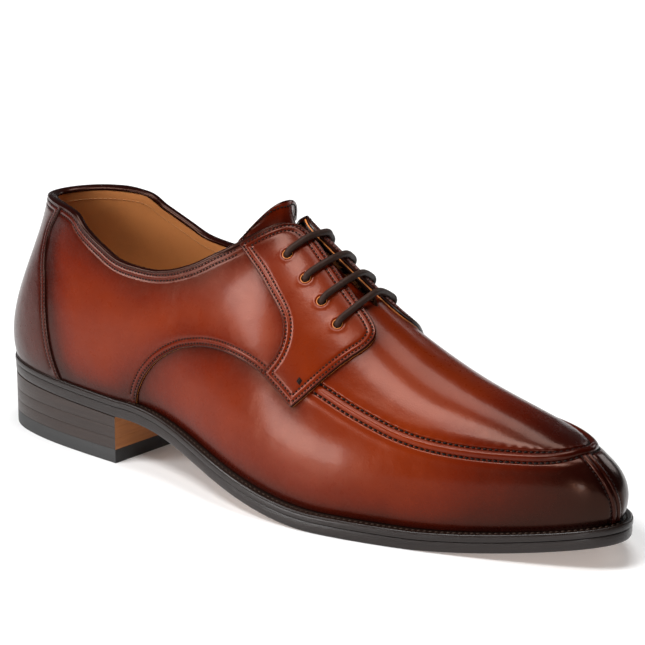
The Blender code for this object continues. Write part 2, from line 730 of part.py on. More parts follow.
def make_lace_bar(number, s, v):
    """One straight bar, from a lateral eyelet over the throat to its medial partner."""
    points = []
    rows = [(v + step, rise) for step, rise in LACE_LEG] + [LACE_CREST]
    for side in (-1, 1):
        station = mirrored(s, side)
        leg = [skin(station, height, rise) for height, rise in rows]
        points += leg if side < 0 else leg[::-1]
    path = to_world(smooth_path(points, LACE_POINTS))
    curve = bpy.data.curves.new(f"lace_bar_{number}", "CURVE")
    curve.dimensions = "3D"
    curve.bevel_depth = LACE_RADIUS * MM
    curve.bevel_resolution = 2
    curve.use_fill_caps = True
    spline = curve.splines.new("POLY")
    spline.points.add(len(path) - 1)
    for target, point in zip(spline.points, path):
        target.co = (*point, 1)
    curve.materials.append(materials["lace"])
    shoe.objects.link(bpy.data.objects.new(f"lace_bar_{number}", curve))


for old in list(bpy.data.objects):
    bpy.data.objects.remove(old)

shoe = bpy.data.collections.new("apron_toe_derby")
cutters = bpy.data.collections.new("cutters")
bpy.context.scene.collection.children.link(shoe)
bpy.context.scene.collection.children.link(cutters)
materials = {name: new_material(name) for name in COLOURS}

punches = {label: make_eyelet_punch(label, side) for label, side in SIDES}
make_outsole()
make_welt()
make_insole()
make_heel()
make_upper()
make_tongue()
for side_label, side_sign in SIDES:
    make_side(side_label, side_sign)
make_counter()
make_seams()
for bar_number, (eyelet_s, eyelet_v) in enumerate(EYELETS, 1):
    make_lace_bar(bar_number, eyelet_s, eyelet_v)
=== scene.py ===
"""Apron toe derby, a right shoe: its looks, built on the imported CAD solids.

Sizes are in millimetres from the back of the heel: +X to the toe, -Y to the lateral side, +Z up.
The sections are: lining shell, cut panels with quarters and facings, counter, vamp, apron, apron
seam, toe seam, collar, tongue, tacks and eyelets, lace, insole, welt, outsole, heel, and last the
floor, lights and camera.
"""
import math

import bmesh
import bpy
import numpy as np
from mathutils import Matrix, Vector, geometry


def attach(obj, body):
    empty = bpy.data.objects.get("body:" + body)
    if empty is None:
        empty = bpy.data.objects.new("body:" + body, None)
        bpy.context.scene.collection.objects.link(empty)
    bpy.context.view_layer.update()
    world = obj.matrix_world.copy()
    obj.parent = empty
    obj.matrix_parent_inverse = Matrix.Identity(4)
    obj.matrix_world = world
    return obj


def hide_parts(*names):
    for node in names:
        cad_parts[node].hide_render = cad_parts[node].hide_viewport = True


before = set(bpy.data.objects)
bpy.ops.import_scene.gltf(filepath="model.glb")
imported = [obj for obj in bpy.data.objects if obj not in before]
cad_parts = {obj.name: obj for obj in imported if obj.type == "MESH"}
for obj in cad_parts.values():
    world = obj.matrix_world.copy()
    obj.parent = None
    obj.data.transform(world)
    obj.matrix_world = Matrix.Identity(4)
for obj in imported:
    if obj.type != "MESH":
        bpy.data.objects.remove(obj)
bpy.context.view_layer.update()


# Lining and shell. The real shoe is pulled over a last: soft tan lining leather inside, canvas and
# stiffeners between, and the calf panels over them. Here one hollow shell carries the lining on
# its inside and dark calf on the rest, which the panels cover. In front of the throat's back its
# inside is near-black calf too, not lining: painted shade under the tongue.
MM = 0.001
SHOE_LENGTH = 313.0
BALL_WIDTH = 95.5
INSTEP_HEIGHT = 118.0
HEEL_HEIGHT = 20.6
HEEL_RISE_TO_BACK = 3.2
HEEL_LENGTH = 83.0
HEEL_MIDDLE = 42.0
TOE_SPRING = 11.0
TOE_SPRING_POWER = 1.6
ARCH_FULLNESS = 8.0
TREAD_START = 200.0
TREAD_END = 236.0
WELT_TOP = 7.6
# Sections of the last, as shares of length, ball width and instep height:
# lateral x, y, medial x, y, ridge x, ridge centre y, ridge half width, ridge z
SECTIONS = (
    (1.000, 0.094, 1.000, 0.094, 0.922, 0.094, 0.000, 0.394),
    (0.971, -0.031, 0.981, 0.241, 0.901, 0.084, 0.000, 0.411),
    (0.888, -0.162, 0.917, 0.408, 0.843, 0.063, 0.000, 0.458),
    (0.767, -0.319, 0.808, 0.518, 0.760, 0.037, 0.000, 0.525),
    (0.626, -0.450, 0.684, 0.524, 0.671, 0.016, 0.000, 0.636),
    (0.479, -0.461, 0.511, 0.366, 0.565, 0.000, 0.000, 0.822),
    (0.345, -0.387, 0.351, 0.298, 0.441, 0.000, 0.115, 1.000),
    (0.192, -0.372, 0.192, 0.340, 0.274, 0.000, 0.245, 1.000),
    (0.045, -0.283, 0.045, 0.272, 0.124, 0.000, 0.194, 0.966),
    (0.000, 0.000, 0.000, 0.000, 0.053, 0.000, 0.000, 0.949),
)
# How each section bulges: inset from the sole's edge, lateral out, up, medial out, up, reach, lift
FULLNESS = (
    (4.0, 6.0, 18.0, 6.0, 18.0, 14.0, 0.0),
    (4.0, 6.0, 18.0, 7.0, 18.0, 15.0, 0.0),
    (4.5, 5.0, 21.0, 7.0, 21.0, 17.0, 0.0),
    (5.0, 6.0, 25.0, 5.0, 25.0, 19.0, 0.0),
    (5.0, 6.0, 29.0, 4.0, 29.0, 19.0, 0.0),
    (4.5, 5.0, 31.0, 2.0, 32.0, 21.0, 0.0),
    (4.0, 6.0, 31.0, 3.0, 34.0, 10.0, -18.0),
    (3.0, 7.0, 27.0, 6.0, 27.0, 0.0, -28.0),
    (3.0, 6.5, 26.0, 6.5, 26.0, 0.0, -26.0),
    (2.5, 7.0, 26.0, 7.0, 26.0, -3.0, -24.0),
)
HALF = len(SECTIONS) - 1
ROUND = 2 * HALF
RIDGE_CLOSES = 5.6
RIDGE_SHARPNESS = 8.0
LATTICE_COLUMNS = 1440
LATTICE_ROWS = 240
# Where the shell ends at throat and collar: station, height
THROAT_BACK = 118.0
SHELL_TOP = (
    (4.25, 1.000), (4.50, 0.905), (4.76, 0.925), (5.06, 0.945), (5.34, 0.960), (5.54, 0.968),
    (5.68, 0.935), (5.76, 0.888), (5.88, 0.812), (6.06, 0.737), (6.14, 0.692), (6.38, 0.632),
    (6.56, 0.617), (6.76, 0.622), (6.98, 0.642), (7.22, 0.697), (7.50, 0.767), (7.74, 0.842),
    (8.20, 0.862), (9.00, 0.857),
)
SHELL_OUTSIDE = -0.5
SHELL_INSIDE = -2.0
LINING_COLOUR = (0.46, 0.175, 0.05)
LINING_SHADE = (0.24, 0.080, 0.025)


def closed_spline(rows):
    """Smooth closed curve through rows, one row per station, as a function of the station."""
    values = np.asarray(rows, float)
    count = len(values)
    matrix = 4 * np.eye(count) + np.roll(np.eye(count), 1, 0) + np.roll(np.eye(count), -1, 0)
    slopes = np.linalg.solve(matrix, 3 * (np.roll(values, -1, 0) - np.roll(values, 1, 0)))

    def at(station):
        station = np.asarray(station, float) % count
        index = np.floor(station).astype(int) % count
        t = (station - np.floor(station))[..., None]
        after = (index + 1) % count
        return (
            values[index] * (1 + 2 * t) * (1 - t) ** 2
            + slopes[index] * t * (1 - t) ** 2
            + values[after] * t * t * (3 - 2 * t)
            + slopes[after] * t * t * (t - 1)
        )

    return at


def both_sides(lateral, medial):
    """Lateral rows from toe to heel, then medial rows back to the toe, as one closed curve."""
    return closed_spline(list(lateral) + list(medial)[-2:0:-1])


sections = np.array(SECTIONS)
bulges = np.array(FULLNESS)
plan_size = (SHOE_LENGTH, BALL_WIDTH)
ridge_places = [
    np.column_stack([
        sections[:, 4] * SHOE_LENGTH,
        (sections[:, 5] + side * sections[:, 6]) * BALL_WIDTH,
        sections[:, 7] * INSTEP_HEIGHT,
    ])
    for side in (-1, 0, 1)
]
sole_edge = both_sides(sections[:, 0:2] * plan_size, sections[:, 2:4] * plan_size)
ridge_edge = both_sides(ridge_places[0], ridge_places[2])
ridge_middle = both_sides(ridge_places[1], ridge_places[1])
fullness = both_sides(bulges[:, [0, 1, 2, 5, 6]], bulges[:, [0, 3, 4, 5, 6]])


def unit(vectors):
    return vectors / np.linalg.norm(vectors, axis=-1, keepdims=True)


def sole_outline(s, inset=0.0):
    """Plan points of the sole's edge, moved inward, and the outward direction there."""
    step = 1e-3
    point = sole_edge(s)
    along = sole_edge(np.asarray(s) + step) - sole_edge(np.asarray(s) - step)
    outward = unit(np.stack([-along[..., 1], along[..., 0]], -1))
    return point - outward * np.asarray(inset, float)[..., None], outward


def sole_bottom(x):
    """Height of the outsole's underside: heel seat, arch, flat tread and toe spring."""
    x = np.asarray(x, float)
    t = np.clip((TREAD_START - x) / (TREAD_START - HEEL_LENGTH), 0, 1)
    arch = HEEL_HEIGHT * t * t * (3 - 2 * t) + ARCH_FULLNESS * (t * t - t ** 3)
    seat = HEEL_HEIGHT + HEEL_RISE_TO_BACK * (HEEL_LENGTH - x) / HEEL_LENGTH
    toe = np.clip((x - TREAD_END) / (SHOE_LENGTH - TREAD_END), 0, 1.05)
    return np.where(x < HEEL_LENGTH, seat, arch) + TOE_SPRING * toe ** TOE_SPRING_POWER


def folded(s):
    """The lateral station that faces a station of either side."""
    s = np.asarray(s, float) % ROUND
    return np.where(s > HALF, ROUND - s, s)


def meridian(s):
    """The four Bezier points of the last's section at each station."""
    inset, out, up, reach, lift = np.moveaxis(fullness(s), -1, 0)
    plan, outward = sole_outline(s, inset)
    foot = np.concatenate([plan, (sole_bottom(plan[..., 0]) + WELT_TOP + 0.3)[..., None]], -1)
    share = 1 / (1 + np.exp((folded(s) - RIDGE_CLOSES) * RIDGE_SHARPNESS))
    top = ridge_edge(s)
    top[..., 1] += (ridge_middle(s)[..., 1] - top[..., 1]) * share
    step = 1e-2
    inland = np.clip(folded(s), 2 * step, HALF - 2 * step)
    run = ridge_middle(inland + step) - ridge_middle(inland - step)
    rise = lift * (1 - share) + share * run[..., 2] / run[..., 0] * outward[..., 0] * reach
    lower = np.concatenate([plan + outward * out[..., None], foot[..., 2:] + up[..., None]], -1)
    upper = np.concatenate(
        [top[..., :2] + outward * reach[..., None], top[..., 2:] + rise[..., None]], -1
    )
    return np.stack([foot, lower, upper, top], -2)


def bezier(points, t):
    weights = np.stack([(1 - t) ** 3, 3 * t * (1 - t) ** 2, 3 * t * t * (1 - t), t ** 3], -1)
    return np.einsum("...tk,...kd->...td", weights, points)


def make_lattice():
    """The last's points, normals and slopes on a fine lattice of stations and heights."""
    stations = np.arange(LATTICE_COLUMNS) * ROUND / LATTICE_COLUMNS
    points = meridian(stations)
    fine = np.linspace(0, 1, 4 * LATTICE_ROWS + 1)
    trace = bezier(points, np.broadcast_to(fine, (len(stations), len(fine))))
    length = np.cumsum(np.linalg.norm(np.diff(trace, axis=1), axis=2), axis=1)
    length = np.pad(length, ((0, 0), (1, 0)))
    heights = np.linspace(0, 1, LATTICE_ROWS + 1)
    parameter = np.array([np.interp(heights * row[-1], row, fine) for row in length])
    place = bezier(points, parameter)
    closed = folded(stations) < RIDGE_CLOSES - 1
    for _ in range(60):
        crossing = np.concatenate([place[-np.arange(len(place)) % len(place), -3:-1][:, ::-1]], 1)
        top = (place[:, -2] + crossing[:, 0]) / 2
        place[closed, -1] = (0.5 * place[:, -1] + 0.5 * top)[closed]
        middle = (place[:, -3] + place[:, -1]) / 2
        place[closed, -2] = (0.5 * place[:, -2] + 0.5 * middle)[closed]
    by_s = (np.roll(place, -1, 0) - np.roll(place, 1, 0)) * (LATTICE_COLUMNS / ROUND / 2)
    by_v = np.gradient(place, 1 / LATTICE_ROWS, axis=1)
    normal = np.cross(by_v, by_s)
    size = np.linalg.norm(normal, axis=-1, keepdims=True)
    normal /= np.maximum(size, 1e-9)
    normal[:, -1] = np.where(size[:, -1] < 1e-9, normal[:, -2], normal[:, -1])
    facing = normal[-np.arange(len(place)) % len(place), -1]
    ridge = normal[:, -1] + facing
    ridge /= np.maximum(np.linalg.norm(ridge, axis=-1, keepdims=True), 1e-9)
    normal[closed, -1] = ridge[closed]
    return np.concatenate([place, normal, by_s, by_v], -1)


lattice = make_lattice()


def read_lattice(s, v):
    s, v = np.broadcast_arrays(np.asarray(s, float), np.asarray(v, float))
    column = (s % ROUND) * LATTICE_COLUMNS / ROUND
    row = np.clip(v, 0, 1) * LATTICE_ROWS
    i = np.floor(column).astype(int)
    j = np.minimum(np.floor(row).astype(int), LATTICE_ROWS - 1)
    a = (column - i)[..., None]
    b = (row - j)[..., None]
    i, k = i % LATTICE_COLUMNS, (i + 1) % LATTICE_COLUMNS
    return (
        (lattice[i, j] * (1 - b) + lattice[i, j + 1] * b) * (1 - a)
        + (lattice[k, j] * (1 - b) + lattice[k, j + 1] * b) * a
    )


def on_last(s, v, rise=0.0):
    """Points over the last at stations s and heights v, rise millimetres off its surface."""
    row = read_lattice(s, v)
    return row[..., :3] + row[..., 3:6] * np.asarray(rise, float)[..., None]


def beside(s, v, way):
    """Stations and heights of points moved by way, in millimetres, over the last."""
    row = read_lattice(s, v)
    by_s, by_v = row[..., 6:9], row[..., 9:12]
    a, b, c = (by_s ** 2).sum(-1), (by_s * by_v).sum(-1), (by_v ** 2).sum(-1)
    p, q = (by_s * way).sum(-1), (by_v * way).sum(-1)
    scale = a * c - b * b
    return s + (c * p - b * q) / scale, v + (a * q - b * p) / scale


def moved_sideways(line, distance):
    """A line on the last moved sideways over it, to the right going along it."""
    row = read_lattice(*line.T)
    across = unit(np.cross(np.gradient(row[:, :3], axis=0), row[:, 3:6]))
    return np.column_stack(beside(*line.T, across * distance))


def table(rows, at):
    columns = np.array(rows)
    return np.interp(at, columns[:, 0], columns[:, 1])


def travelled(place):
    """Distance in millimetres from a line's start to each of its points."""
    return np.concatenate([[0], np.cumsum(np.linalg.norm(np.diff(place, axis=0), axis=1))])


def read_along(at, travel, values):
    """Columns of values read at distances along a line."""
    return np.stack([np.interp(at, travel, column) for column in values.T], -1)


def curve_through(points):
    """Smooth curve through points, as a function of a span's number and a share of the span."""
    points = np.asarray(points, float)
    padded = np.concatenate([[2 * points[0] - points[1]], points, [2 * points[-1] - points[-2]]])

    def at(i, t):
        a, b, c, d = padded[i:i + 4]
        return 0.5 * (2 * b + (c - a) * t + (2 * a - 5 * b + 4 * c - d) * t * t
                      + (3 * b - a - 3 * c + d) * t ** 3)

    return at


def smooth_line(points, spacing):
    """Smooth curve through the points, with points a spacing in millimetres apart on the last."""
    at = curve_through(points)
    shares = np.linspace(0, 1, 24, endpoint=False)
    fine = [at(i, t) for i in range(len(points) - 1) for t in shares]
    return evenly(np.array(fine + [points[-1]]), spacing)


def evenly(line, spacing):
    """A line of station and height pairs with points spread evenly in millimetres."""
    travel = travelled(on_last(*line.T))
    count = max(2, int(round(travel[-1] / spacing)) + 1)
    return read_along(np.linspace(0, travel[-1], count), travel, line)


def new_piece(name, points, faces, materials, marks=None, slots=None, sharp=0.9):
    """Mesh object from points in millimetres. marks: named numbers per point for the shader."""
    mesh = bpy.data.meshes.new(name)
    points = (np.asarray(points, float).reshape(-1, 3) - (HEEL_MIDDLE, 0, 0)) * MM
    mesh.from_pydata(points.tolist(), [], [list(map(int, face)) for face in faces])
    for material in materials:
        mesh.materials.append(material)
    if slots is not None:
        mesh.polygons.foreach_set("material_index", np.asarray(slots, np.int32))
    for label, values in (marks or {}).items():
        layer = mesh.attributes.new(label, "FLOAT", "POINT")
        layer.data.foreach_set("value", np.asarray(values, np.float32).ravel())
    mesh.shade_smooth()
    mesh.set_sharp_from_angle(angle=sharp)
    mesh.update()
    inside_out = bmesh.new()
    inside_out.from_mesh(mesh)
    if inside_out.calc_volume(signed=True) < 0:
        mesh.flip_normals()
    inside_out.free()
    thing = bpy.data.objects.new(name, mesh)
    bpy.context.scene.collection.objects.link(thing)
    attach(thing, "root")
    return thing


def grid_faces(columns, rows, wrap=False, start=0, flip=False):
    """Faces of a grid of points stored column by column."""
    i = np.arange(columns if wrap else columns - 1)[:, None]
    j = np.arange(rows - 1)[None, :]
    a = i * rows + j
    b = (i + 1) % columns * rows + j
    faces = np.stack([a, a + 1, b + 1, b], -1).reshape(-1, 4) + start
    return faces[:, ::-1] if flip else faces


class Wire:
    """An output socket of a shader node. Arithmetic on it adds Math nodes."""

    def __init__(self, finish, socket):
        self.finish = finish
        self.socket = socket

    def maths(self, operation, *values, clamp=False):
        settings = {"operation": operation, "use_clamp": clamp}
        return self.finish.node("ShaderNodeMath", settings, dict(enumerate(values)))

    def __add__(self, other):
        return self.maths("ADD", self, other)

    def __sub__(self, other):
        return self.maths("SUBTRACT", self, other)

    def __rsub__(self, other):
        return self.maths("SUBTRACT", other, self)

    def __mul__(self, other):
        return self.maths("MULTIPLY", self, other)

    __radd__ = __add__
    __rmul__ = __mul__

    def clamped(self):
        return self.maths("ADD", self, 0.0, clamp=True)


class Finish:
    """A node material for one surface of the shoe."""

    def __init__(self, name, **shader):
        self.material = bpy.data.materials.new(name)
        self.material.use_nodes = True
        self.nodes = self.material.node_tree.nodes
        self.links = self.material.node_tree.links
        self.shader = self.nodes["Principled BSDF"]
        self.put(self.shader, shader)

    def put(self, node, values):
        for key, value in values.items():
            socket = node.inputs[key if isinstance(key, int) else key.replace("_", " ")]
            if isinstance(value, Wire):
                self.links.new(value.socket, socket)
            elif isinstance(value, tuple) and len(value) == 3 and socket.type == "RGBA":
                socket.default_value = (*value, 1)
            else:
                socket.default_value = value

    def node(self, kind, settings=None, values=None, output=0):
        """Add a node: its type, its settings, its sockets' values or links."""
        node = self.nodes.new(kind)
        for key, value in (settings or {}).items():
            if key == "stops":
                for stop, (position, colour) in enumerate(value):
                    element = (
                        node.color_ramp.elements[stop] if stop < 2
                        else node.color_ramp.elements.new(position)
                    )
                    element.position = position
                    element.color = (*colour, 1)
            else:
                setattr(node, key, value)
        self.put(node, values or {})
        return Wire(self, node.outputs[output])

    def place(self):
        return self.node("ShaderNodeTexCoord", output="Object")

    def mark(self, name):
        """A number that the mesh carries at each point."""
        return self.node("ShaderNodeAttribute", {"attribute_name": name}, output="Fac")

    def noise(self, scale, detail=2.0, roughness=0.5, stretch=None, place=None):
        """Noise of grains 1/scale metres wide, from 0 to 1."""
        place = self.place() if place is None else place
        if stretch is not None:
            place = self.node("ShaderNodeMapping", values={"Vector": place, "Scale": stretch})
        return self.node(
            "ShaderNodeTexNoise",
            values={"Vector": place, "Scale": scale, "Detail": detail, "Roughness": roughness},
        )

    def cells(self, scale):
        values = {"Vector": self.place(), "Scale": scale}
        return self.node("ShaderNodeTexVoronoi", values=values, output="Distance")

    def ramp(self, fac, *stops):
        return self.node("ShaderNodeValToRGB", {"stops": stops}, {"Fac": fac}, output="Color")

    def blend(self, fac, a, b):
        """Colour a where fac is 0 and b where it is 1."""
        return self.node(
            "ShaderNodeMix", {"data_type": "RGBA"}, {0: fac, 6: a, 7: b}, output=2
        )

    def bump(self, *layers):
        """Chain of bumps, each a height wire and its depth in millimetres."""
        normal = None
        for height, depth in layers:
            values = {"Height": height, "Strength": 1.0, "Distance": depth * MM}
            if normal is not None:
                values["Normal"] = normal
            normal = self.node("ShaderNodeBump", values=values)
        self.put(self.shader, {"Normal": normal})

    def paint(self, **values):
        self.put(self.shader, values)
        return self.material


def calf(name):
    """Burnished smooth calf: cognac that turns near black towards toe, heel, seams (partly painted
    shade) and edges.
    """
    finish = Finish(
        name, Coat_Roughness=0.14, Coat_IOR=1.5, IOR=1.5, Specular_IOR_Level=0.21,
        Specular_Tint=(1.0, 0.46, 0.30),
    )
    cloud = finish.noise(38.0, 4.0, 0.55)
    fleck = finish.noise(420.0, 3.0, 0.6)
    shade = finish.mark("burnish_and_shade") + (cloud - 0.5) * 0.30 + (fleck - 0.5) * 0.07
    colour = finish.ramp(
        shade.clamped(),
        (0.00, (0.142, 0.0140, 0.0008)), (0.24, (0.088, 0.0064, 0.0005)),
        (0.48, (0.033, 0.0022, 0.0004)), (0.72, (0.011, 0.0008, 0.0003)),
        (1.00, (0.0050, 0.0008, 0.0005)),
    )
    pores = finish.cells(1500.0)
    wrinkle = finish.noise(620.0, 3.0, 0.6)
    swell = finish.noise(52.0, 2.0, 0.5)
    finish.bump((swell, 0.55), (wrinkle, 0.035), (pores, 0.018))
    rough = 0.29 + (fleck - 0.5) * 0.10 - shade.clamped() * 0.05
    return finish.paint(
        Base_Color=colour, Roughness=rough, Coat_Weight=0.11 - shade.clamped() * 0.05
    )


def lining_leather(name, colour, shade):
    """Undyed lining: tan, matt, with fine grain and soft clouds."""
    finish = Finish(name, IOR=1.45)
    cloud = finish.noise(45.0, 4.0, 0.6)
    grain = finish.noise(900.0, 4.0, 0.65)
    tone = ((cloud - 0.5) * 1.1 + finish.mark("burnish_and_shade") + (grain - 0.5) * 0.25).clamped()
    finish.bump((cloud, 0.4), (grain, 0.05), (finish.cells(1400.0), 0.03))
    return finish.paint(
        Base_Color=finish.blend(tone, colour, shade), Roughness=0.55 + (grain - 0.5) * 0.12
    )


# Where polish darkens the calf. Toe and heel: start along the shoe, reach, darkness. Above the
# sole: darkness, reach. Along a cut edge the calf is paler in a band and dark at the edge itself:
# share, reach. Beside seams and overlapping edges the calf is also darkened by painted shade, from
# the lines further down.
PLAIN_DARKNESS = 0.06
TOE_DARK = (232.0, 72.0, 0.88)
HEEL_DARK = (58.0, 66.0, 0.92)
SOLE_DARK = (0.62, 7.0)
EDGE_PALE = (0.26, 3.9)
EDGE_DARK = (0.62, 0.5)


def burnish_and_shade_of(points, edge=None):
    """How dark the calf is at each point: polish at toe, heel and sole line, seams with painted
    shade, edges.
    """
    x, _, z = np.moveaxis(points, -1, 0)
    toe = np.clip((x - TOE_DARK[0]) / TOE_DARK[1], 0, 1) ** 1.5 * TOE_DARK[2]
    heel = np.clip((HEEL_DARK[0] - x) / HEEL_DARK[1], 0, 1) ** 1.3 * HEEL_DARK[2]
    above = z - (sole_bottom(x) + WELT_TOP)
    foot = SOLE_DARK[0] * np.exp(-np.clip(above, 0, None) / SOLE_DARK[1])
    total = PLAIN_DARKNESS + 1 - (1 - toe) * (1 - heel) * (1 - foot)
    # Darkening along seams and the top line: partly polish, partly painted shade beside overlapping
    # edges.
    rub_and_shade = np.max([
        depth * np.exp(-distance_to(points, line) / reach) for line, depth, reach in rubbed_and_shaded_lines
    ], axis=0)
    total = 1 - (1 - total) * (1 - rub_and_shade)
    if edge is not None:
        total = total * (1 - EDGE_PALE[0] * np.exp(-(edge / EDGE_PALE[1]) ** 4))
        total = 1 - (1 - total) * (1 - EDGE_DARK[0] * np.exp(-edge / EDGE_DARK[1]))
    return np.clip(total, 0, 1)


calf_leather = calf("burnished_calf")
lining = lining_leather("lining_leather", LINING_COLOUR, LINING_SHADE)

stations = np.arange(0, ROUND, 1 / 24)
columns = len(stations)
rise_rows = 44
shell_top = table(SHELL_TOP, folded(stations))
heights = shell_top[:, None] * np.linspace(0, 1, rise_rows)[None, :]
across = np.repeat(stations[:, None], rise_rows, 1)
outside = on_last(across, heights, SHELL_OUTSIDE)
inside = on_last(across, heights, SHELL_INSIDE)
for sheet_side in (outside, inside):
    closing = shell_top >= 1
    partner = sheet_side[-np.arange(columns) % columns, -1]
    sheet_side[closing, -1] = ((sheet_side[:, -1] + partner) / 2)[closing]
start = outside.size // 3
ring = np.arange(columns) * rise_rows
after = np.roll(ring, -1)
rim = np.stack([ring, after, after + start, ring + start], -1)
top = rise_rows - 1
crown = np.stack([after + top, ring + top, ring + top + start, after + top + start], -1)
crown = crown[~(closing & np.roll(closing, -1))]
faces = np.concatenate([
    grid_faces(columns, rise_rows, wrap=True), rim, crown,
    grid_faces(columns, rise_rows, wrap=True, start=start, flip=True),
])
middle = (columns * (rise_rows - 1)) + len(rim)
shell_slots = np.where(np.arange(len(faces)) < middle, 0, 1)
shell_points = np.concatenate([outside.reshape(-1, 3), inside.reshape(-1, 3)])
# Painted shade: in front of the throat's back the shell's inside is near-black calf instead of tan
# lining, for the shade under the tongue; the mark given below makes it near black there.
shaded_under_tongue = shell_points[faces][..., 0].mean(1) > THROAT_BACK
shell_slots = np.where(shaded_under_tongue, 0, shell_slots)
shell = new_piece(
    "lining_shell", shell_points, faces, [calf_leather, lining],
    marks={"burnish_and_shade": np.where(
        (np.arange(2 * start) < start) | (shell_points[:, 0] > THROAT_BACK + 4), 0.95, 0.0,
    )},
    slots=shell_slots,
)
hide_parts("upper")

# Cut panels. Each piece of calf is cut to its pattern, its edge is skived, inked and pressed round,
# and two rows of thread pull it down on the piece below. A panel is a sheet on the last between
# its outline's edges, finely meshed where the edge rounds over and where the thread sinks in.
EDGE_SPACING = 0.8
EDGE_RINGS = (0.10, 0.25, 0.45, 0.7, 1.0, 1.3, 1.65, 2.0, 2.4, 2.85, 3.2, 3.5, 3.8, 4.2, 4.8)
PANEL_SPACING = 1.5
EDGE_ROUNDING = 0.55
THREAD_ROWS = (1.3, 3.5)
THREAD_SINK = 0.30
THREAD_SINK_WIDTH = 0.55
VAMP_RISE = 0.12
VAMP_UNDERSIDE = -0.45
QUARTER_RISE = 1.3
COUNTER_RISE = 2.2
FACING_RISE = 2.4
PANEL_CLEARANCE = 0.02
# Lines on the last: station, height
LOWER_EDGE = (
    (6.31, 0.000), (6.29, 0.045), (6.25, 0.100), (6.19, 0.165), (6.08, 0.245), (5.90, 0.320),
    (5.68, 0.368), (5.42, 0.404), (5.16, 0.433), (5.00, 0.446), (4.84, 0.450), (4.64, 0.438),
    (4.42, 0.412),
)
FLAP_EDGE = (
    (4.42, 0.412), (4.365, 0.480), (4.320, 0.550), (4.285, 0.610), (4.250, 0.670),
    (4.205, 0.740), (4.165, 0.800), (4.160, 0.845), (4.185, 0.880), (4.245, 0.903),
    (4.34, 0.919), (4.46, 0.930), (4.76, 0.950), (5.06, 0.970), (5.30, 0.984), (5.46, 0.991),
)
TOP_LINE = (
    (5.46, 0.991), (5.56, 0.988), (5.64, 0.968), (5.70, 0.937), (5.78, 0.887), (5.90, 0.814),
    (6.06, 0.745), (6.20, 0.686), (6.38, 0.641), (6.56, 0.626), (6.76, 0.631), (6.98, 0.652),
    (7.22, 0.706), (7.50, 0.776), (7.74, 0.843), (8.20, 0.868), (9.00, 0.865),
)
FACING_SEAM = (
    (5.870, 0.832), (5.80, 0.812), (5.56, 0.765), (5.24, 0.720), (5.02, 0.690), (4.90, 0.656),
    (4.825, 0.605), (4.80, 0.545), (4.815, 0.490), (4.84, 0.450),
)
COUNTER_SEAM = (
    (7.22, 0.000), (7.26, 0.055), (7.38, 0.185), (7.50, 0.300), (7.68, 0.450), (7.90, 0.590),
    (8.015, 0.715), (7.975, 0.800), (7.93, 0.855),
)
EYELETS = ((5.34, 0.870), (5.04, 0.850), (4.78, 0.830), (4.52, 0.805))
EYELET_RADIUS = 1.75
# Rings of points round an eyelet: radius, count
HOLE_RINGS = ((EYELET_RADIUS, 24), (2.0, 24), (2.35, 24), (2.8, 18), (3.4, 18))
# How the punch shapes the leather: distance from the eyelet's middle, width, height
EYELET_FOLDS = ((EYELET_RADIUS, 0.55, -0.30), (2.75, 0.45, 0.16))


def mirrored(line, side):
    """A line on the lateral side (-1) as it is, or its partner on the medial side (1)."""
    line = np.asarray(line, float)
    return line if side < 0 else np.column_stack([ROUND - line[:, 0], line[:, 1]])


def part_of(line, first, last):
    """The stretch of a line between the points nearest to two station and height pairs."""
    def nearest(pair):
        return int(np.abs(line - pair).sum(1).argmin())
    return line[nearest(first):nearest(last) + 1]


def distance_to(points, line):
    """Distance in millimetres from each point to a line of points."""
    shape = points.shape[:-1]
    points = points.reshape(-1, 3)
    result = np.empty(len(points))
    start, step = line[:-1], np.diff(line, axis=0)
    size = np.maximum((step ** 2).sum(1), 1e-12)
    for first in range(0, len(points), 3000):
        p = points[first:first + 3000]
        gap = (p ** 2).sum(1)[:, None] + (line ** 2).sum(1)[None] - 2 * p @ line.T
        near = gap.argmin(1)
        best = np.full(len(p), 1e3)
        for k in (np.clip(near - 1, 0, len(start) - 1), np.clip(near, 0, len(start) - 1)):
            t = np.clip(((p - start[k]) * step[k]).sum(1) / size[k], 0, 1)
            best = np.minimum(best, np.linalg.norm(start[k] + step[k] * t[:, None] - p, axis=1))
        result[first:first + 3000] = best
    return result.reshape(shape)


def is_inside(points, outline):
    x, y = points[:, 0, None], points[:, 1, None]
    a, b = outline, np.roll(outline, -1, 0)
    crosses = (a[:, 1] > y) != (b[:, 1] > y)
    at = (b[:, 0] - a[:, 0]) * (y - a[:, 1]) / (b[:, 1] - a[:, 1] + 1e-15) + a[:, 0]
    return (crosses & (x < at)).sum(1) % 2 == 1


def folds(gap, rows):
    """Height of soft folds in leather. rows: distance from the seam, width, height."""
    return sum(height * np.exp(-((gap - at) / width) ** 2) for at, width, height in rows)


def thread_sink(distance):
    """How deep the rows of thread pull the leather down, at a distance from its edge."""
    return folds(distance, [(row, THREAD_SINK_WIDTH, THREAD_SINK) for row in THREAD_ROWS])


def rounded_edge(distance, radius=EDGE_ROUNDING):
    """How far a pressed edge falls away at a distance from it."""
    t = np.clip(distance / radius, 0, 1)
    return radius * (1 - np.sqrt(1 - (1 - t) ** 2))


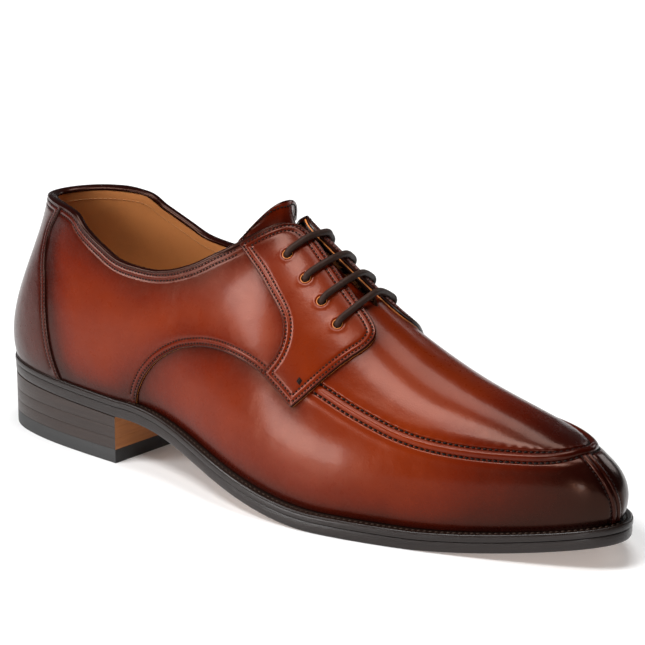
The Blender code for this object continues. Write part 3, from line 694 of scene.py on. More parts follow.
# Lines along which the calf is darkened, each with its darkness and reach: polish rubbed in along
# seams and the top line, and painted shade on the leather beside and below an overlapping edge.
rubbed_and_shaded_lines = [
    (on_last(*smooth_line(mirrored(line, side), 1.5).T), depth, reach)
    for line, depth, reach in (
        (LOWER_EDGE, 0.44, 7.5), (FLAP_EDGE, 0.26, 4.5), (TOP_LINE, 0.60, 10.0),
        (FACING_SEAM, 0.32, 5.0), (COUNTER_SEAM, 0.60, 8.5),
    )
    for side in (-1, 1)
]


def circle_on_last(centre, radius, turns):
    """Stations and heights of a circle round a point on the last."""
    row = read_lattice(*centre)
    first = row[6:9] / np.linalg.norm(row[6:9])
    second = np.cross(row[3:6], first)
    way = radius * (np.cos(turns)[:, None] * first + np.sin(turns)[:, None] * second)
    return np.column_stack(beside(*centre, way))


def kept_inside(line, outline, loop, clear):
    """The points of a line that lie inside a panel, clear of its outline by a distance."""
    keep = is_inside(line, outline)
    keep[keep] &= distance_to(on_last(*line[keep].T), loop) > clear
    return line[keep]


def cut_panel(name, outline, shown, top, low, walls, materials, holes=()):
    """Panel of leather on the last. outline: closed line; shown: its visible edges.

    top: function of station, height, edge distance and place that gives the upper face's rise;
    low: the same for the face below; walls: rises of the edge's bands and their material slots.
    """
    row = read_lattice(*outline.T)
    scale, rise = (np.linalg.norm(row[:, k:k + 3], axis=1).mean() for k in (6, 9))
    loop = on_last(*np.vstack([outline, outline[:1]]).T)
    gathered = []
    hole_rims = []
    for centre in holes:
        circles = [
            circle_on_last(centre, radius, np.arange(sides) * 2 * math.pi / sides)
            for radius, sides in HOLE_RINGS
        ]
        hole_rims.append((on_last(*centre), circles[0]))
        gathered += circles[1:]
    for line in shown:
        for offset in EDGE_RINGS:
            for sign in (-1, 1):
                moved = moved_sideways(line, sign * offset)
                gathered.append(kept_inside(moved, outline, loop, 0.88 * offset))
    low_corner, high_corner = outline.min(0), outline.max(0)
    grid_s = np.arange(low_corner[0], high_corner[0], PANEL_SPACING / scale)
    grid_v = np.arange(low_corner[1], high_corner[1], PANEL_SPACING / rise)
    grid = np.stack(np.meshgrid(grid_s, grid_v), -1).reshape(-1, 2)
    grid = grid[is_inside(grid, outline)]
    grid_place = on_last(*grid.T)
    keep = distance_to(grid_place, loop) > 0.7 * PANEL_SPACING
    for line in shown:
        away = distance_to(grid_place, on_last(*line.T))
        keep &= away > EDGE_RINGS[-1] + 0.5 * PANEL_SPACING
    for centre, _ in hole_rims:
        away = np.linalg.norm(grid_place - centre, axis=1)
        keep &= away > HOLE_RINGS[-1][0] + 0.5 * PANEL_SPACING
    loops = [outline] + [rim for _, rim in hole_rims]
    everything = np.vstack(loops + gathered + [grid[keep]])
    edges = []
    start = 0
    for closed in loops:
        count = len(closed)
        edges += [(start + i, start + (i + 1) % count) for i in range(count)]
        start += count
    flat = [Vector((s * scale, v * rise)) for s, v in everything]
    found, _, triangles, _, _, _ = geometry.delaunay_2d_cdt(flat, edges, [], 1, 1e-4, False)
    found = np.array([tuple(point) for point in found]) / (scale, rise)
    triangles = np.array(triangles)
    centres = found[triangles].mean(1)
    keep = is_inside(centres, outline)
    for _, rim in hole_rims:
        keep &= ~is_inside(centres, rim)
    used, triangles = np.unique(triangles[keep], return_inverse=True)
    triangles = triangles.reshape(-1, 3)
    found = found[used]
    base = on_last(*found.T)
    gap = np.min([distance_to(base, on_last(*line.T)) for line in shown], axis=0)
    upper_face = on_last(*found.T, top(*found.T, gap, base))
    lower_face = on_last(*found.T, low(*found.T))
    normal = read_lattice(*found.T)[:, 3:6]
    a, b, c = (upper_face[triangles[:, k]] for k in range(3))
    turned = (np.cross(b - a, c - a) * normal[triangles[:, 0]]).sum(1) < 0
    triangles[turned] = triangles[turned][:, ::-1]
    pairs = np.vstack([triangles[:, [0, 1]], triangles[:, [1, 2]], triangles[:, [2, 0]]])
    code = pairs[:, 0] * len(found) + pairs[:, 1]
    rim_edges = pairs[~np.isin(pairs[:, 1] * len(found) + pairs[:, 0], code)]
    rim_used, rim_index = np.unique(rim_edges, return_inverse=True)
    rim_index = rim_index.reshape(-1, 2)
    count = len(found)
    points = [upper_face, lower_face]
    faces = [triangles.tolist(), (triangles[:, ::-1] + count).tolist()]
    slots = [0] * len(triangles) + [walls[-1][1]] * len(triangles)
    rows = [rim_used]
    top_rim, low_rim = upper_face[rim_used], lower_face[rim_used]
    for number, (share, _) in enumerate(walls[:-1]):
        points.append(top_rim * (1 - share) + low_rim * share)
        rows.append(2 * count + number * len(rim_used) + np.arange(len(rim_used)))
    rows.append(rim_used + count)
    for number, (_, slot) in enumerate(walls):
        upper_row, lower_row = rows[number], rows[number + 1]
        i, k = rim_index.T
        band = np.stack([upper_row[k], upper_row[i], lower_row[i], lower_row[k]], -1)
        faces.append(band.tolist())
        slots += [slot] * len(rim_index)
    shade = burnish_and_shade_of(base, gap)
    marks = np.concatenate([shade, shade] + [np.ones(len(rim_used))] * (len(walls) - 1))
    return new_piece(
        name, np.vstack(points), [face for group in faces for face in group], materials,
        marks={"burnish_and_shade": marks}, slots=slots,
    )


def inked_edge(name):
    """The skived edge of the calf, inked nearly black and waxed."""
    finish = Finish(
        name, Roughness=0.33, Coat_Weight=0.15, Coat_Roughness=0.2, Specular_IOR_Level=0.3,
    )
    grain = finish.noise(1500.0, 3.0)
    finish.bump((grain, 0.05),)
    return finish.paint(
        Base_Color=finish.blend(grain, (0.009, 0.0035, 0.0026), (0.022, 0.0075, 0.0048))
    )


def raw_edge(name):
    """The raw middle of a cut edge, orange where the ink missed it."""
    finish = Finish(name, Roughness=0.6)
    fibre = finish.noise(1800.0, 4.0, 0.7)
    finish.bump((fibre, 0.06),)
    return finish.paint(
        Base_Color=finish.blend(fibre, (0.42, 0.12, 0.022), (0.75, 0.27, 0.06))
    )


ink = inked_edge("inked_edge")
raw = raw_edge("raw_leather_edge")
LEATHER_SLOTS = [calf_leather, ink, raw, lining]


def wax_thread(name, colour, light):
    """Waxed twisted thread."""
    finish = Finish(name, Roughness=0.45, Specular_IOR_Level=0.10)
    twist = finish.noise(2600.0, 2.0)
    finish.bump((twist, 0.05),)
    return finish.paint(Base_Color=finish.blend(twist, colour, light))


dark_thread = wax_thread("dark_thread", (0.0035, 0.0014, 0.0011), (0.011, 0.0045, 0.0032))


# One stitch: place along it, size, sink, as shares of its length and half its width
STITCH_RINGS = (
    (-0.5, 0.45, -0.9), (-0.36, 0.95, -0.1), (0.0, 1.0, 0.25), (0.36, 0.95, -0.1),
    (0.5, 0.45, -0.9),
)
STITCH_SIDES = 6


def tube_faces(rings, sides):
    """Faces of a tube of rings of points, closed at both ends."""
    quads = [
        (i * sides + j, i * sides + (j + 1) % sides,
         (i + 1) * sides + (j + 1) % sides, (i + 1) * sides + j)
        for i in range(rings - 1) for j in range(sides)
    ]
    return quads + [
        tuple(range(sides))[::-1], tuple(range((rings - 1) * sides, rings * sides)),
    ]


def shifted(faces, start):
    return [tuple(start + index for index in face) for face in faces]


def sew(name, rows, pitch, length, width, thread):
    """Rows of stitches: each shows as a short cord, its ends sunk in the needle holes.

    rows: lines of stations and heights with the rise of the leather under the thread.
    """
    sides = np.arange(STITCH_SIDES) * math.pi / 3
    template = np.array([
        (along, np.cos(side) * size, np.sin(side) * size * 0.8 + lift)
        for along, size, lift in STITCH_RINGS for side in sides
    ])
    one = tube_faces(len(STITCH_RINGS), STITCH_SIDES)
    points = []
    faces = []
    for line, rise in rows:
        place = on_last(*line.T, rise)
        travel = travelled(place)
        count = max(1, int(travel[-1] / pitch))
        middles = (np.arange(count) + 0.5) * travel[-1] / count
        centre, ahead, behind = (
            read_along(middles + step, travel, place) for step in (0.0, 0.3, -0.3)
        )
        along = unit(ahead - behind)
        normal = read_lattice(*read_along(middles, travel, line).T)[:, 3:6]
        normal = unit(normal - along * (normal * along).sum(1, keepdims=True))
        across = np.cross(along, normal)
        for i in range(count):
            faces += shifted(one, len(points) * len(template))
            points.append(
                centre[i] + template[:, :1] * length * along[i]
                + template[:, 1:2] * width / 2 * across[i] + template[:, 2:] * width / 2 * normal[i]
            )
    return new_piece(name, np.vstack(points), faces, [thread], sharp=3.0)


def beside_edge(line, offset, outline):
    """A line moved inward from a panel's edge, cut off where it leaves the panel's inside."""
    loop = on_last(*np.vstack([outline, outline[:1]]).T)
    return max((
        kept_inside(moved_sideways(line, sign * offset), outline, loop, 0.93 * offset)
        for sign in (-1, 1)
    ), key=len)


lower_edge = smooth_line(LOWER_EDGE, EDGE_SPACING)
flap_edge = smooth_line(FLAP_EDGE + TOP_LINE[1:], EDGE_SPACING)
facing_seam = smooth_line(FACING_SEAM, EDGE_SPACING)
counter_seam = smooth_line(COUNTER_SEAM, EDGE_SPACING)
facing_bottom = part_of(lower_edge, (4.84, 0.450), (4.42, 0.412))
facing_front = part_of(flap_edge, (4.42, 0.412), (5.870, 0.832))
facing_outline = np.vstack([facing_front[:-1], facing_seam[:-1], facing_bottom[:-1]])


def facing_top(s, v, gap, base):
    rise = FACING_RISE - rounded_edge(gap) - thread_sink(gap)
    for centre in EYELETS:
        for side in (-1, 1):
            hole = mirrored([centre], side)[0]
            rise = rise + folds(np.linalg.norm(base - on_last(*hole), axis=1), EYELET_FOLDS)
    return rise


def quarter_low(s, v):
    return np.interp(v, (0.60, 0.78), (VAMP_RISE + 0.08, VAMP_UNDERSIDE))


HIDDEN_SPACING = 2.0
quarter_end = smooth_line((
    (8.13, 0.858), (8.17, 0.715), (8.06, 0.590), (7.84, 0.450), (7.66, 0.300), (7.54, 0.185),
    (7.42, 0.055), (7.38, 0.0),
), HIDDEN_SPACING)
quarter_top = part_of(flap_edge, (4.42, 0.412), (8.13, 0.866))
quarter_foot = evenly(np.array([(7.38, 0.0), (6.31, 0.0)]), HIDDEN_SPACING)
quarter_outline = np.vstack([
    lower_edge[:-1], quarter_top[:-1], quarter_end[:-1], quarter_foot[:-1],
])
for label, side in (("lateral", -1), ("medial", 1)):
    outline = mirrored(quarter_outline, side)
    edges = [mirrored(lower_edge, side), mirrored(quarter_top, side)]

    def quarter_rise(s, v, gap, base):
        rise = QUARTER_RISE - rounded_edge(gap) - thread_sink(gap)
        covered = is_inside(np.column_stack([s, v]), mirrored(facing_outline, side))
        return np.where(covered, np.minimum(rise, QUARTER_RISE - 0.05), rise)

    quarter = cut_panel(
        f"quarter_leather_{label}", outline, edges, quarter_rise, quarter_low,
        ((0.45, 2), (1.0, 1)), LEATHER_SLOTS, holes=mirrored(EYELETS, side),
    )
    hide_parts(f"quarter_{label}")
    outline = mirrored(facing_outline, side)
    edges = [mirrored(line, side) for line in (facing_front, facing_seam, facing_bottom)]
    # Painted shade: the facing's underside is inked near black, not lined, as the shade under the
    # flap seen in the throat.
    facing = cut_panel(
        f"facing_leather_{label}", outline, edges, facing_top,
        lambda s, v: QUARTER_RISE + PANEL_CLEARANCE, ((1.0, 1),), [calf_leather, ink, raw, ink],
        holes=mirrored(EYELETS, side),
    )
    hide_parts(f"facing_{label}")
    rows = []
    for offset in THREAD_ROWS:
        for line, around, rise in (
            (facing_front, facing_outline, FACING_RISE), (facing_seam, facing_outline, FACING_RISE),
            (facing_bottom, facing_outline, FACING_RISE),
            (part_of(lower_edge, (6.31, 0.0), (4.84, 0.45)), quarter_outline, QUARTER_RISE),
            (part_of(flap_edge, (5.90, 0.814), (7.94, 0.86)), quarter_outline, QUARTER_RISE),
        ):
            sewn = mirrored(beside_edge(line, offset, around), side)
            rows.append((sewn, rise - THREAD_SINK + 0.05))
    sew(f"stitches_{label}", rows, pitch=1.6, length=1.10, width=0.72, thread=dark_thread)

# Counter. One calf panel wraps the heel over both quarters, with no seam at the back. It is cut
# and inked like them and sewn down with a double row along its two curved seams and its top.
heel_top = part_of(flap_edge, (7.93, 0.855), (9.0, 0.865))
counter_outline = np.vstack([
    counter_seam[:-1],
    heel_top[:-1],
    mirrored(heel_top[::-1], 1)[:-1],
    mirrored(counter_seam[::-1], 1)[:-1],
    evenly(np.array([(ROUND - 7.22, 0.0), (7.22, 0.0)]), HIDDEN_SPACING)[:-1],
])
heel_top = np.vstack([heel_top, mirrored(heel_top[:-1][::-1], 1)])
counter_edges = [counter_seam, mirrored(counter_seam, 1), heel_top]
counter = cut_panel(
    "counter_leather", counter_outline, counter_edges,
    lambda s, v, gap, base: COUNTER_RISE - rounded_edge(gap) - thread_sink(gap),
    lambda s, v: QUARTER_RISE + PANEL_CLEARANCE, ((1.0, 1),), LEATHER_SLOTS,
)
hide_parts("counter")
sew(
    "stitches_counter",
    [(beside_edge(line, offset, counter_outline), COUNTER_RISE - THREAD_SINK + 0.05)
     for line in counter_edges for offset in THREAD_ROWS],
    pitch=1.5, length=1.05, width=0.55, thread=dark_thread,
)

# Vamp. Two calf panels wrap the sides from the split toe back under the quarters, and turn up at
# the apron seam. Each is one smooth sheet, meshed closely at the toe seam and below the apron.
APRON_LINE = (
    (0.00, 0.830), (0.50, 0.795), (1.04, 0.685), (1.48, 0.615), (1.82, 0.580), (2.36, 0.535),
    (2.84, 0.510), (3.30, 0.500), (3.78, 0.525), (4.26, 0.545), (4.60, 0.530), (5.00, 0.510),
    (5.60, 0.450), (6.20, 0.340), (6.95, 0.200),
)
TOE_LINE = ((0.000, 0.09), (0.270, 0.26), (0.500, 0.34), (0.840, 0.35))
VAMP_END = 6.9
SEAM_HALF_WIDTH = 1.75
SEAM_FOOT = -0.30
SEAM_THREAD = 2.15
PUCKER_PITCH = 4.6
# Soft folds beside the apron seam and the toe seam: distance from it, width, height
VAMP_FOLDS = ((SEAM_THREAD, 0.50, -0.40), (4.6, 1.7, 0.20))
TOE_FOLDS = ((2.15, 0.45, -0.32), (4.0, 1.2, 0.10))


def smooth_table(rows, at):
    """Smooth reading of a two-column table: its straight reading, softened."""
    return sum(table(rows, at + shift) for shift in (-0.18, -0.09, 0.0, 0.09, 0.18)) / 5


def apron_height(s):
    return smooth_table(APRON_LINE, abs(np.asarray(s, float)))


def toe_station(v):
    return smooth_table(TOE_LINE, np.asarray(v, float))


def sheet_piece(name, outer, inner, materials, marks, flip=False):
    """Closed sheet between two grids of points, stored column by column."""
    columns, rows = outer.shape[:2]
    start = columns * rows
    upper_face = grid_faces(columns, rows, flip=flip)
    lower_face = grid_faces(columns, rows, start=start, flip=not flip)
    index = np.arange(start).reshape(columns, rows)
    rim = np.concatenate([index[:, 0], index[-1, 1:], index[-2::-1, -1], index[0, -2:0:-1]])
    after = np.roll(rim, -1)
    sides = np.stack([rim, after, after + start, rim + start], -1)
    if flip:
        sides = sides[:, ::-1]
    faces = np.concatenate([upper_face, lower_face, sides])
    slots = np.concatenate([
        np.zeros(len(upper_face), int), np.ones(len(lower_face) + len(sides), int),
    ])
    points = np.concatenate([outer.reshape(-1, 3), inner.reshape(-1, 3)])
    marks = {key: np.concatenate([value.ravel(), value.ravel()]) for key, value in marks.items()}
    return new_piece(name, points, faces, materials, marks=marks, slots=slots)


apron_line = np.column_stack([np.linspace(-4.9, 4.9, 1400), np.zeros(1400)])
apron_line[:, 1] = apron_height(apron_line[:, 0])
apron_line = evenly(apron_line, EDGE_SPACING)
apron_place = on_last(*apron_line.T)
apron_travel = travelled(apron_place)
toe_line = np.column_stack([toe_station(np.linspace(0, 0.83, 200)), np.linspace(0, 0.83, 200)])
toe_line = evenly(toe_line, EDGE_SPACING)
toe_place = on_last(*toe_line.T)
rows_up = np.concatenate([np.linspace(0, 0.84, 44, endpoint=False), np.linspace(0.84, 1, 30)])
columns_back = np.concatenate([
    np.linspace(0, 0.022, 18, endpoint=False), np.linspace(0.022, 1, 215),
])
for label, side in (("lateral", 1), ("medial", -1)):
    c, w = np.meshgrid(columns_back, rows_up, indexing="ij")
    v = w * 0.6
    for _ in range(8):
        begin = toe_station(v)
        s = begin + (side * VAMP_END - begin) * c
        v = w * apron_height(s)
    base = on_last(s, v)
    gap = distance_to(base, apron_place)
    toe_gap = distance_to(base, toe_place)
    rise = VAMP_RISE + folds(gap, VAMP_FOLDS) + folds(toe_gap, TOE_FOLDS)
    edge = np.minimum(gap * 0.8, toe_gap * 1.6)
    vamp = sheet_piece(
        f"vamp_{label}", on_last(s, v, rise), on_last(s, v, VAMP_UNDERSIDE),
        [calf_leather, ink], {"burnish_and_shade": burnish_and_shade_of(base, edge)}, flip=side < 0,
    )

# Apron. The plug over the forefoot, one calf panel sewn to both vamp sides round the toe, with
# small puckers where each stitch draws it down. It runs back under the facings to the tongue.
APRON_END = 4.72
APRON_RIDGE = 4.42
APRON_RISE = 0.42
APRON_BACK = ((APRON_RIDGE, 1.0), (4.48, 0.975), (4.57, 0.930), (APRON_END, 0.910))
APRON_FOLDS = ((SEAM_THREAD, 0.55, -0.62), (0.0, 1.6, -0.45), (5.2, 2.4, 0.12))
PUCKER_FOLD = ((3.2, 0.9, 0.07),)
apron_columns = np.linspace(0, APRON_END, 250)
apron_rows = np.concatenate([np.linspace(0, 0.17, 30, endpoint=False), np.linspace(0.17, 1, 44)])
halves = []
for side in (1, -1):
    c, w = np.meshgrid(side * apron_columns, apron_rows, indexing="ij")
    edge_height = apron_height(c)
    end_height = np.minimum(1, table(APRON_BACK, abs(c)))
    v = edge_height + (end_height - edge_height) * w
    base = on_last(c, v)
    flat = base.reshape(-1, 3)
    gap = distance_to(base, apron_place)
    near = ((flat ** 2).sum(1)[:, None] + (apron_place ** 2).sum(1) - 2 * flat @ apron_place.T)
    travel = apron_travel[near.argmin(1)].reshape(c.shape)
    pucker = np.cos(travel * 2 * math.pi / PUCKER_PITCH)
    rise = APRON_RISE + folds(gap, APRON_FOLDS) + pucker * folds(gap, PUCKER_FOLD)
    halves.append((on_last(c, v, rise), on_last(c, v, VAMP_UNDERSIDE), burnish_and_shade_of(base, gap)))
outer, inner, shade = (
    np.concatenate([halves[1][k][::-1], halves[0][k][1:]]) for k in range(3)
)
columns, rows = outer.shape[:2]
points = []
for grid in (outer, inner):
    partner = grid[::-1, -1]
    ridge = np.abs(np.linspace(-APRON_END, APRON_END, columns)) <= APRON_RIDGE
    grid[ridge, -1] = ((grid[:, -1] + partner) / 2)[ridge]
    points.append(grid.reshape(-1, 3))
middle = columns // 2
foot = np.arange(columns) * rows
crest = (foot + rows - 1)[~ridge]
head = np.arange(rows)
rims = []
for line in (foot, crest[crest < middle * rows][::-1], crest[crest > middle * rows][::-1],
             head[::-1], head + (columns - 1) * rows):
    rims.append(np.stack([line[:-1], line[1:], line[1:] + columns * rows,
                          line[:-1] + columns * rows], -1))
sheet_count = (columns - 1) * (rows - 1)
faces = np.concatenate([
    grid_faces(columns, rows), grid_faces(columns, rows, start=columns * rows, flip=True), *rims,
])
apron = new_piece(
    "apron", np.concatenate(points), faces, [calf_leather, ink],
    marks={"burnish_and_shade": np.concatenate([shade.ravel(), shade.ravel()])},
    slots=(np.arange(len(faces)) >= sheet_count).astype(int),
)
weld = apron.modifiers.new("ridge", "WELD")
weld.merge_threshold = 1e-6


def swept_seam(name, line, profile, marks_gap, ends):
    """A profile of (across, rise) swept along a line on the last, its ends tapered shut."""
    travel = travelled(on_last(*line.T))
    taper = np.clip(np.minimum(travel, travel[-1] - travel) / ends, 0.05, 1) ** 0.5
    outer = []
    inner = []
    for across, rise in profile:
        moved = moved_sideways(line, across).T
        outer.append(on_last(*moved, SEAM_FOOT + (rise - SEAM_FOOT) * taper))
        inner.append(on_last(*moved, SEAM_FOOT - 0.05))
    outer, inner = np.stack(outer, 1), np.stack(inner, 1)
    shade = burnish_and_shade_of(outer, np.full(outer.shape[:2], marks_gap))
    return sheet_piece(name, outer, inner, [calf_leather, ink], {"burnish_and_shade": shade})


# Apron seam. A tube of calf, turned over a cord between apron and vamp and sewn down on each side
# with waxed thread in long stitches.
seam_line = apron_line[np.abs(apron_line[:, 0]) <= 4.34]
tube = [
    (math.cos(angle) * SEAM_HALF_WIDTH, -0.25 + math.sin(angle) * 1.95)
    for angle in np.linspace(0, math.pi, 15)
]
seam = swept_seam("apron_roll", seam_line, tube, marks_gap=2.2, ends=3.0)
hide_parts("apron_seam")
seam_rows = [(moved_sideways(seam_line, offset), -0.05) for offset in (-SEAM_THREAD, SEAM_THREAD)]
sew("stitches_apron", seam_rows, pitch=2.3, length=1.75, width=0.85, thread=dark_thread)

# Toe seam. The two vamp sides are closed up the toe with a split seam: two narrow beads with a
# groove between them, and a fine row of thread on each side.
bead = [
    (-2.0, -0.2), (-1.85, 0.30), (-1.55, 0.72), (-1.15, 0.92), (-0.75, 0.90), (-0.40, 0.62),
    (-0.18, 0.20), (0.0, 0.02), (0.18, 0.20), (0.40, 0.62), (0.75, 0.90), (1.15, 0.92),
    (1.55, 0.72), (1.85, 0.30), (2.0, -0.2),
]
toe = swept_seam("toe_split", toe_line[toe_line[:, 1] < 0.79], bead, marks_gap=1.0, ends=0.5)
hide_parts("toe_seam")
toe_rows = []
for offset in (-2.25, 2.25):
    line = moved_sideways(toe_line, offset)
    toe_rows.append((line[line[:, 1] < 0.78], -0.02))
sew("stitches_toe", toe_rows, pitch=1.7, length=1.2, width=0.6, thread=dark_thread)

# Collar. The calf is folded over the top line in a narrow dark roll and sewn through, and the tan
# lining meets it inside with a row of thread of its own.
ROLL_SIDES = 24
ROLL_OUTSIDE = ((5.60, 2.30), (5.90, 2.25), (6.02, 1.35), (7.80, 1.35), (7.98, 2.20), (9.00, 2.20))
collar_line = part_of(flap_edge, (5.62, 0.975), (9.0, 0.865))
collar_line = np.vstack([collar_line, mirrored(collar_line[:-1][::-1], 1)])
row = read_lattice(*collar_line.T)
place, normal = row[:, :3], row[:, 3:6]
along = unit(np.gradient(place, axis=0))
upward = np.cross(along, normal)
upward *= np.where(upward[:, 2:] < 0, -1, 1)
reach_out = table(ROLL_OUTSIDE, folded(collar_line[:, 0]))[:, None]
reach_in = SHELL_INSIDE - 0.25
half_width = (reach_out - reach_in) / 2 * 1.04
centre = (reach_out + reach_in) / 2
travel = travelled(place)
taper = np.clip(np.minimum(travel, travel[-1] - travel) / 6.0, 0.1, 1)[:, None] ** 0.5
ring = []
for angle in np.linspace(0, 2 * math.pi, ROLL_SIDES, endpoint=False):
    height = 1.15 if math.sin(angle) > 0 else 0.9
    outward = math.copysign(abs(math.cos(angle)) ** 0.8, math.cos(angle))
    ring.append(
        place + normal * (centre + half_width * outward)
        + upward * (0.05 + height * math.sin(angle)) * taper
    )
ring = np.stack(ring, 1)
roll = new_piece(
    "collar_roll", ring, tube_faces(len(ring), ROLL_SIDES), [calf_leather],
    marks={"burnish_and_shade": np.full(len(ring) * ROLL_SIDES, 0.80)},
)
inside_line = np.column_stack(beside(*collar_line.T, -upward * 4.4))[4:-4]
sew(
    "stitches_lining", [(inside_line, SHELL_INSIDE - 0.05)], pitch=2.2, length=1.5, width=0.5,
    thread=wax_thread("tan_thread", (0.30, 0.12, 0.04), (0.50, 0.24, 0.10)),
)

# Tongue. A calf leaf lined with tan leather, sewn to the apron under the facings. It lies along the
# throat and its rounded end stands over the top line, with one row of thread near its edge.
TONGUE_ROWS = (
    (3.75, 0.00, 14.0), (4.00, 0.00, 16.0), (4.25, 0.00, 17.5), (4.50, 0.00, 18.5),
    (4.75, 0.00, 19.0), (5.00, 0.10, 19.0), (5.25, 0.26, 18.5), (5.50, 0.44, 18.0),
)
TONGUE_EDGE = (146.0, 3.0, 118.5)
TONGUE_EDGE_HALF_WIDTH = 16.0
TONGUE_EDGE_FALL = (8.0, 0.0, 12.5)
TONGUE_LEAN = (0.75, 0.0, 0.65)
TONGUE_DROP = 3.7
TONGUE_THICKNESS = 2.0
TONGUE_COLUMNS = 60
TONGUE_LENGTH = 90
TONGUE_RUN = 118.0
TONGUE_ROUNDING = 0.8
TONGUE_FOLD = ((3.2, 0.45, 0.22),)


def tongue_face(offset):
    """Points of one face of the tongue, from its root to its end, at an offset from the last."""
    share = np.linspace(-1, 1, TONGUE_COLUMNS + 1)
    rows = []
    for s, spread, half_width in TONGUE_ROWS:
        at = s + spread * abs(share) ** 0.6
        at = np.where(share < 0, at, ROUND - at)
        meridians = on_last(np.repeat(at[:, None], 33, 1), np.linspace(0, 1, 33)[None, :])
        length = np.linalg.norm(np.diff(meridians, axis=1), axis=2).sum(1)
        row = on_last(at, 1 - abs(share) * half_width / length, offset)
        middle = TONGUE_COLUMNS // 2
        for _ in range(30):
            row[middle - 3:middle + 4] = (
                0.5 * row[middle - 3:middle + 4]
                + 0.25 * (row[middle - 4:middle + 3] + row[middle - 2:middle + 5])
            )
        rows.append(row)
    edge = np.zeros((len(share), 3)) + TONGUE_EDGE
    edge[:, 1] += share * TONGUE_EDGE_HALF_WIDTH
    edge -= (abs(share) ** 2.4)[:, None] * TONGUE_EDGE_FALL
    edge += np.array(TONGUE_LEAN) * (offset + TONGUE_DROP)
    rows.append(edge)
    rows = np.array(rows)
    knots = travelled(rows.mean(1))
    at = curve_through(rows)
    result = []
    for length in np.linspace(0, knots[-1], TONGUE_LENGTH):
        i = min(np.searchsorted(knots, length, side="right") - 1, len(rows) - 2)
        result.append(at(i, (length - knots[i]) / (knots[i + 1] - knots[i])))
    return np.array(result)


face = tongue_face(-TONGUE_DROP)
back_face = tongue_face(-TONGUE_DROP - TONGUE_THICKNESS)
thickness = face - back_face
share = np.linspace(-1, 1, TONGUE_COLUMNS + 1)
run = np.linspace(0, 1, TONGUE_LENGTH)
side_gap = (1 - abs(share))[None, :] * TONGUE_EDGE_HALF_WIDTH
gap = np.minimum(side_gap, (1 - run)[:, None] * TONGUE_RUN)
fall = rounded_edge(gap, TONGUE_ROUNDING) + folds(gap, TONGUE_FOLD)
face = face - thickness / TONGUE_THICKNESS * fall[..., None]
tongue = sheet_piece(
    "tongue_leaf", face, back_face, [calf_leather, lining],
    {"burnish_and_shade": np.clip(burnish_and_shade_of(face, gap * 0.7) + 0.10, 0, 1)}, flip=True,
)
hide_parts("tongue")


def round_cord(path, radius, sides):
    """Points and faces of a tube along a path, closed at both ends."""
    along = unit(np.gradient(path, axis=0))
    first = unit(np.cross(along, (1.0, 0.0, 0.15)))
    second = np.cross(along, first)
    turns = (np.arange(sides) * 2 * math.pi / sides)[None, :, None]
    radius = np.broadcast_to(radius, (len(path),))[:, None, None]
    way = np.cos(turns) * first[:, None] + np.sin(turns) * second[:, None]
    return (path[:, None] + radius * way).reshape(-1, 3), tube_faces(len(path), sides)


def thread_row(path, up, pitch, radius):
    """Stitches along a path of places, each a short cord sunk at both ends."""
    up = np.broadcast_to(up, path.shape)
    travel = travelled(path)
    count = int(travel[-1] / pitch)
    points = []
    faces = []
    for i in range(count):
        at = (i + 0.5 + np.array([-0.33, -0.15, 0.15, 0.33])) * travel[-1] / count
        lift = read_along(at, travel, up) * np.array([-0.25, 0.1, 0.1, -0.25])[:, None]
        place = read_along(at, travel, path) + lift
        cord, cord_faces = round_cord(place, np.array([0.55, 1, 1, 0.55]) * radius, STITCH_SIDES)
        points.append(cord)
        faces += shifted(cord_faces, i * len(cord))
    return np.vstack(points), faces


sewn_in = 4
inset_columns = np.arange(sewn_in, TONGUE_COLUMNS - sewn_in + 1)
end_row = TONGUE_LENGTH - 3
side_rows = np.arange(TONGUE_LENGTH // 2, end_row)
sewn_grid, sewn_up = (
    np.concatenate([
        grid[side_rows, sewn_in], grid[end_row, inset_columns],
        grid[side_rows[::-1], TONGUE_COLUMNS - sewn_in],
    ])
    for grid in (face, thickness / TONGUE_THICKNESS)
)
points, faces = thread_row(sewn_grid, sewn_up, pitch=1.6, radius=0.34)
new_piece("stitches_tongue", points, faces, [dark_thread], sharp=3.0)

# Bar tacks and eyelets. Three short bars of thread lock each facing where it ends on the vamp. The
# eyelets are plain punched holes, the leather round them pressed a little proud; a thin ring of
# pale raw-leather colour round each is a painted highlight on that rim.
for label, side in (("lateral", -1), ("medial", 1)):
    tacks = []
    for along in (-0.0072, 0.0, 0.0072):
        ends = mirrored([(4.43, 0.520 + along), (4.51, 0.530 + along)], side)
        tacks.append((smooth_line(ends, 0.4), FACING_RISE + 0.05))
    sew(f"bar_tack_{label}", tacks, pitch=2.6, length=2.6, width=0.7, thread=dark_thread)
# Painted highlight: a thin ring of pale raw-leather colour round each hole stands for the light on
# the pressed rim.
rim_points = []
rim_faces = []
for side in (-1, 1):
    for centre in mirrored(EYELETS, side):
        circle = circle_on_last(centre, 1.95, np.linspace(0, 2 * math.pi, 33))
        ring, ring_faces = round_cord(on_last(*circle.T, FACING_RISE - 0.24), 0.16, 8)
        rim_faces += shifted(ring_faces, len(rim_points) * len(ring))
        rim_points.append(ring)
new_piece("eyelet_rims", np.vstack(rim_points), rim_faces, [raw], sharp=3.0)

# Lace. A round waxed cord of dark brown cotton. Four bars cross the throat from eyelet to eyelet,
# go down through the punched holes and run on under the facings from one bar to the next.
LACE_RADIUS = 1.4
LACE_SIDES = 14
# Over a facing: height beyond the eyelet, rise from the last
LACE_OVER = ((-0.004, -2.6), (0.000, 0.6), (0.001, 2.4), (0.014, 3.55), (0.045, 3.55))
LACE_CREST = (0.965, 3.8)


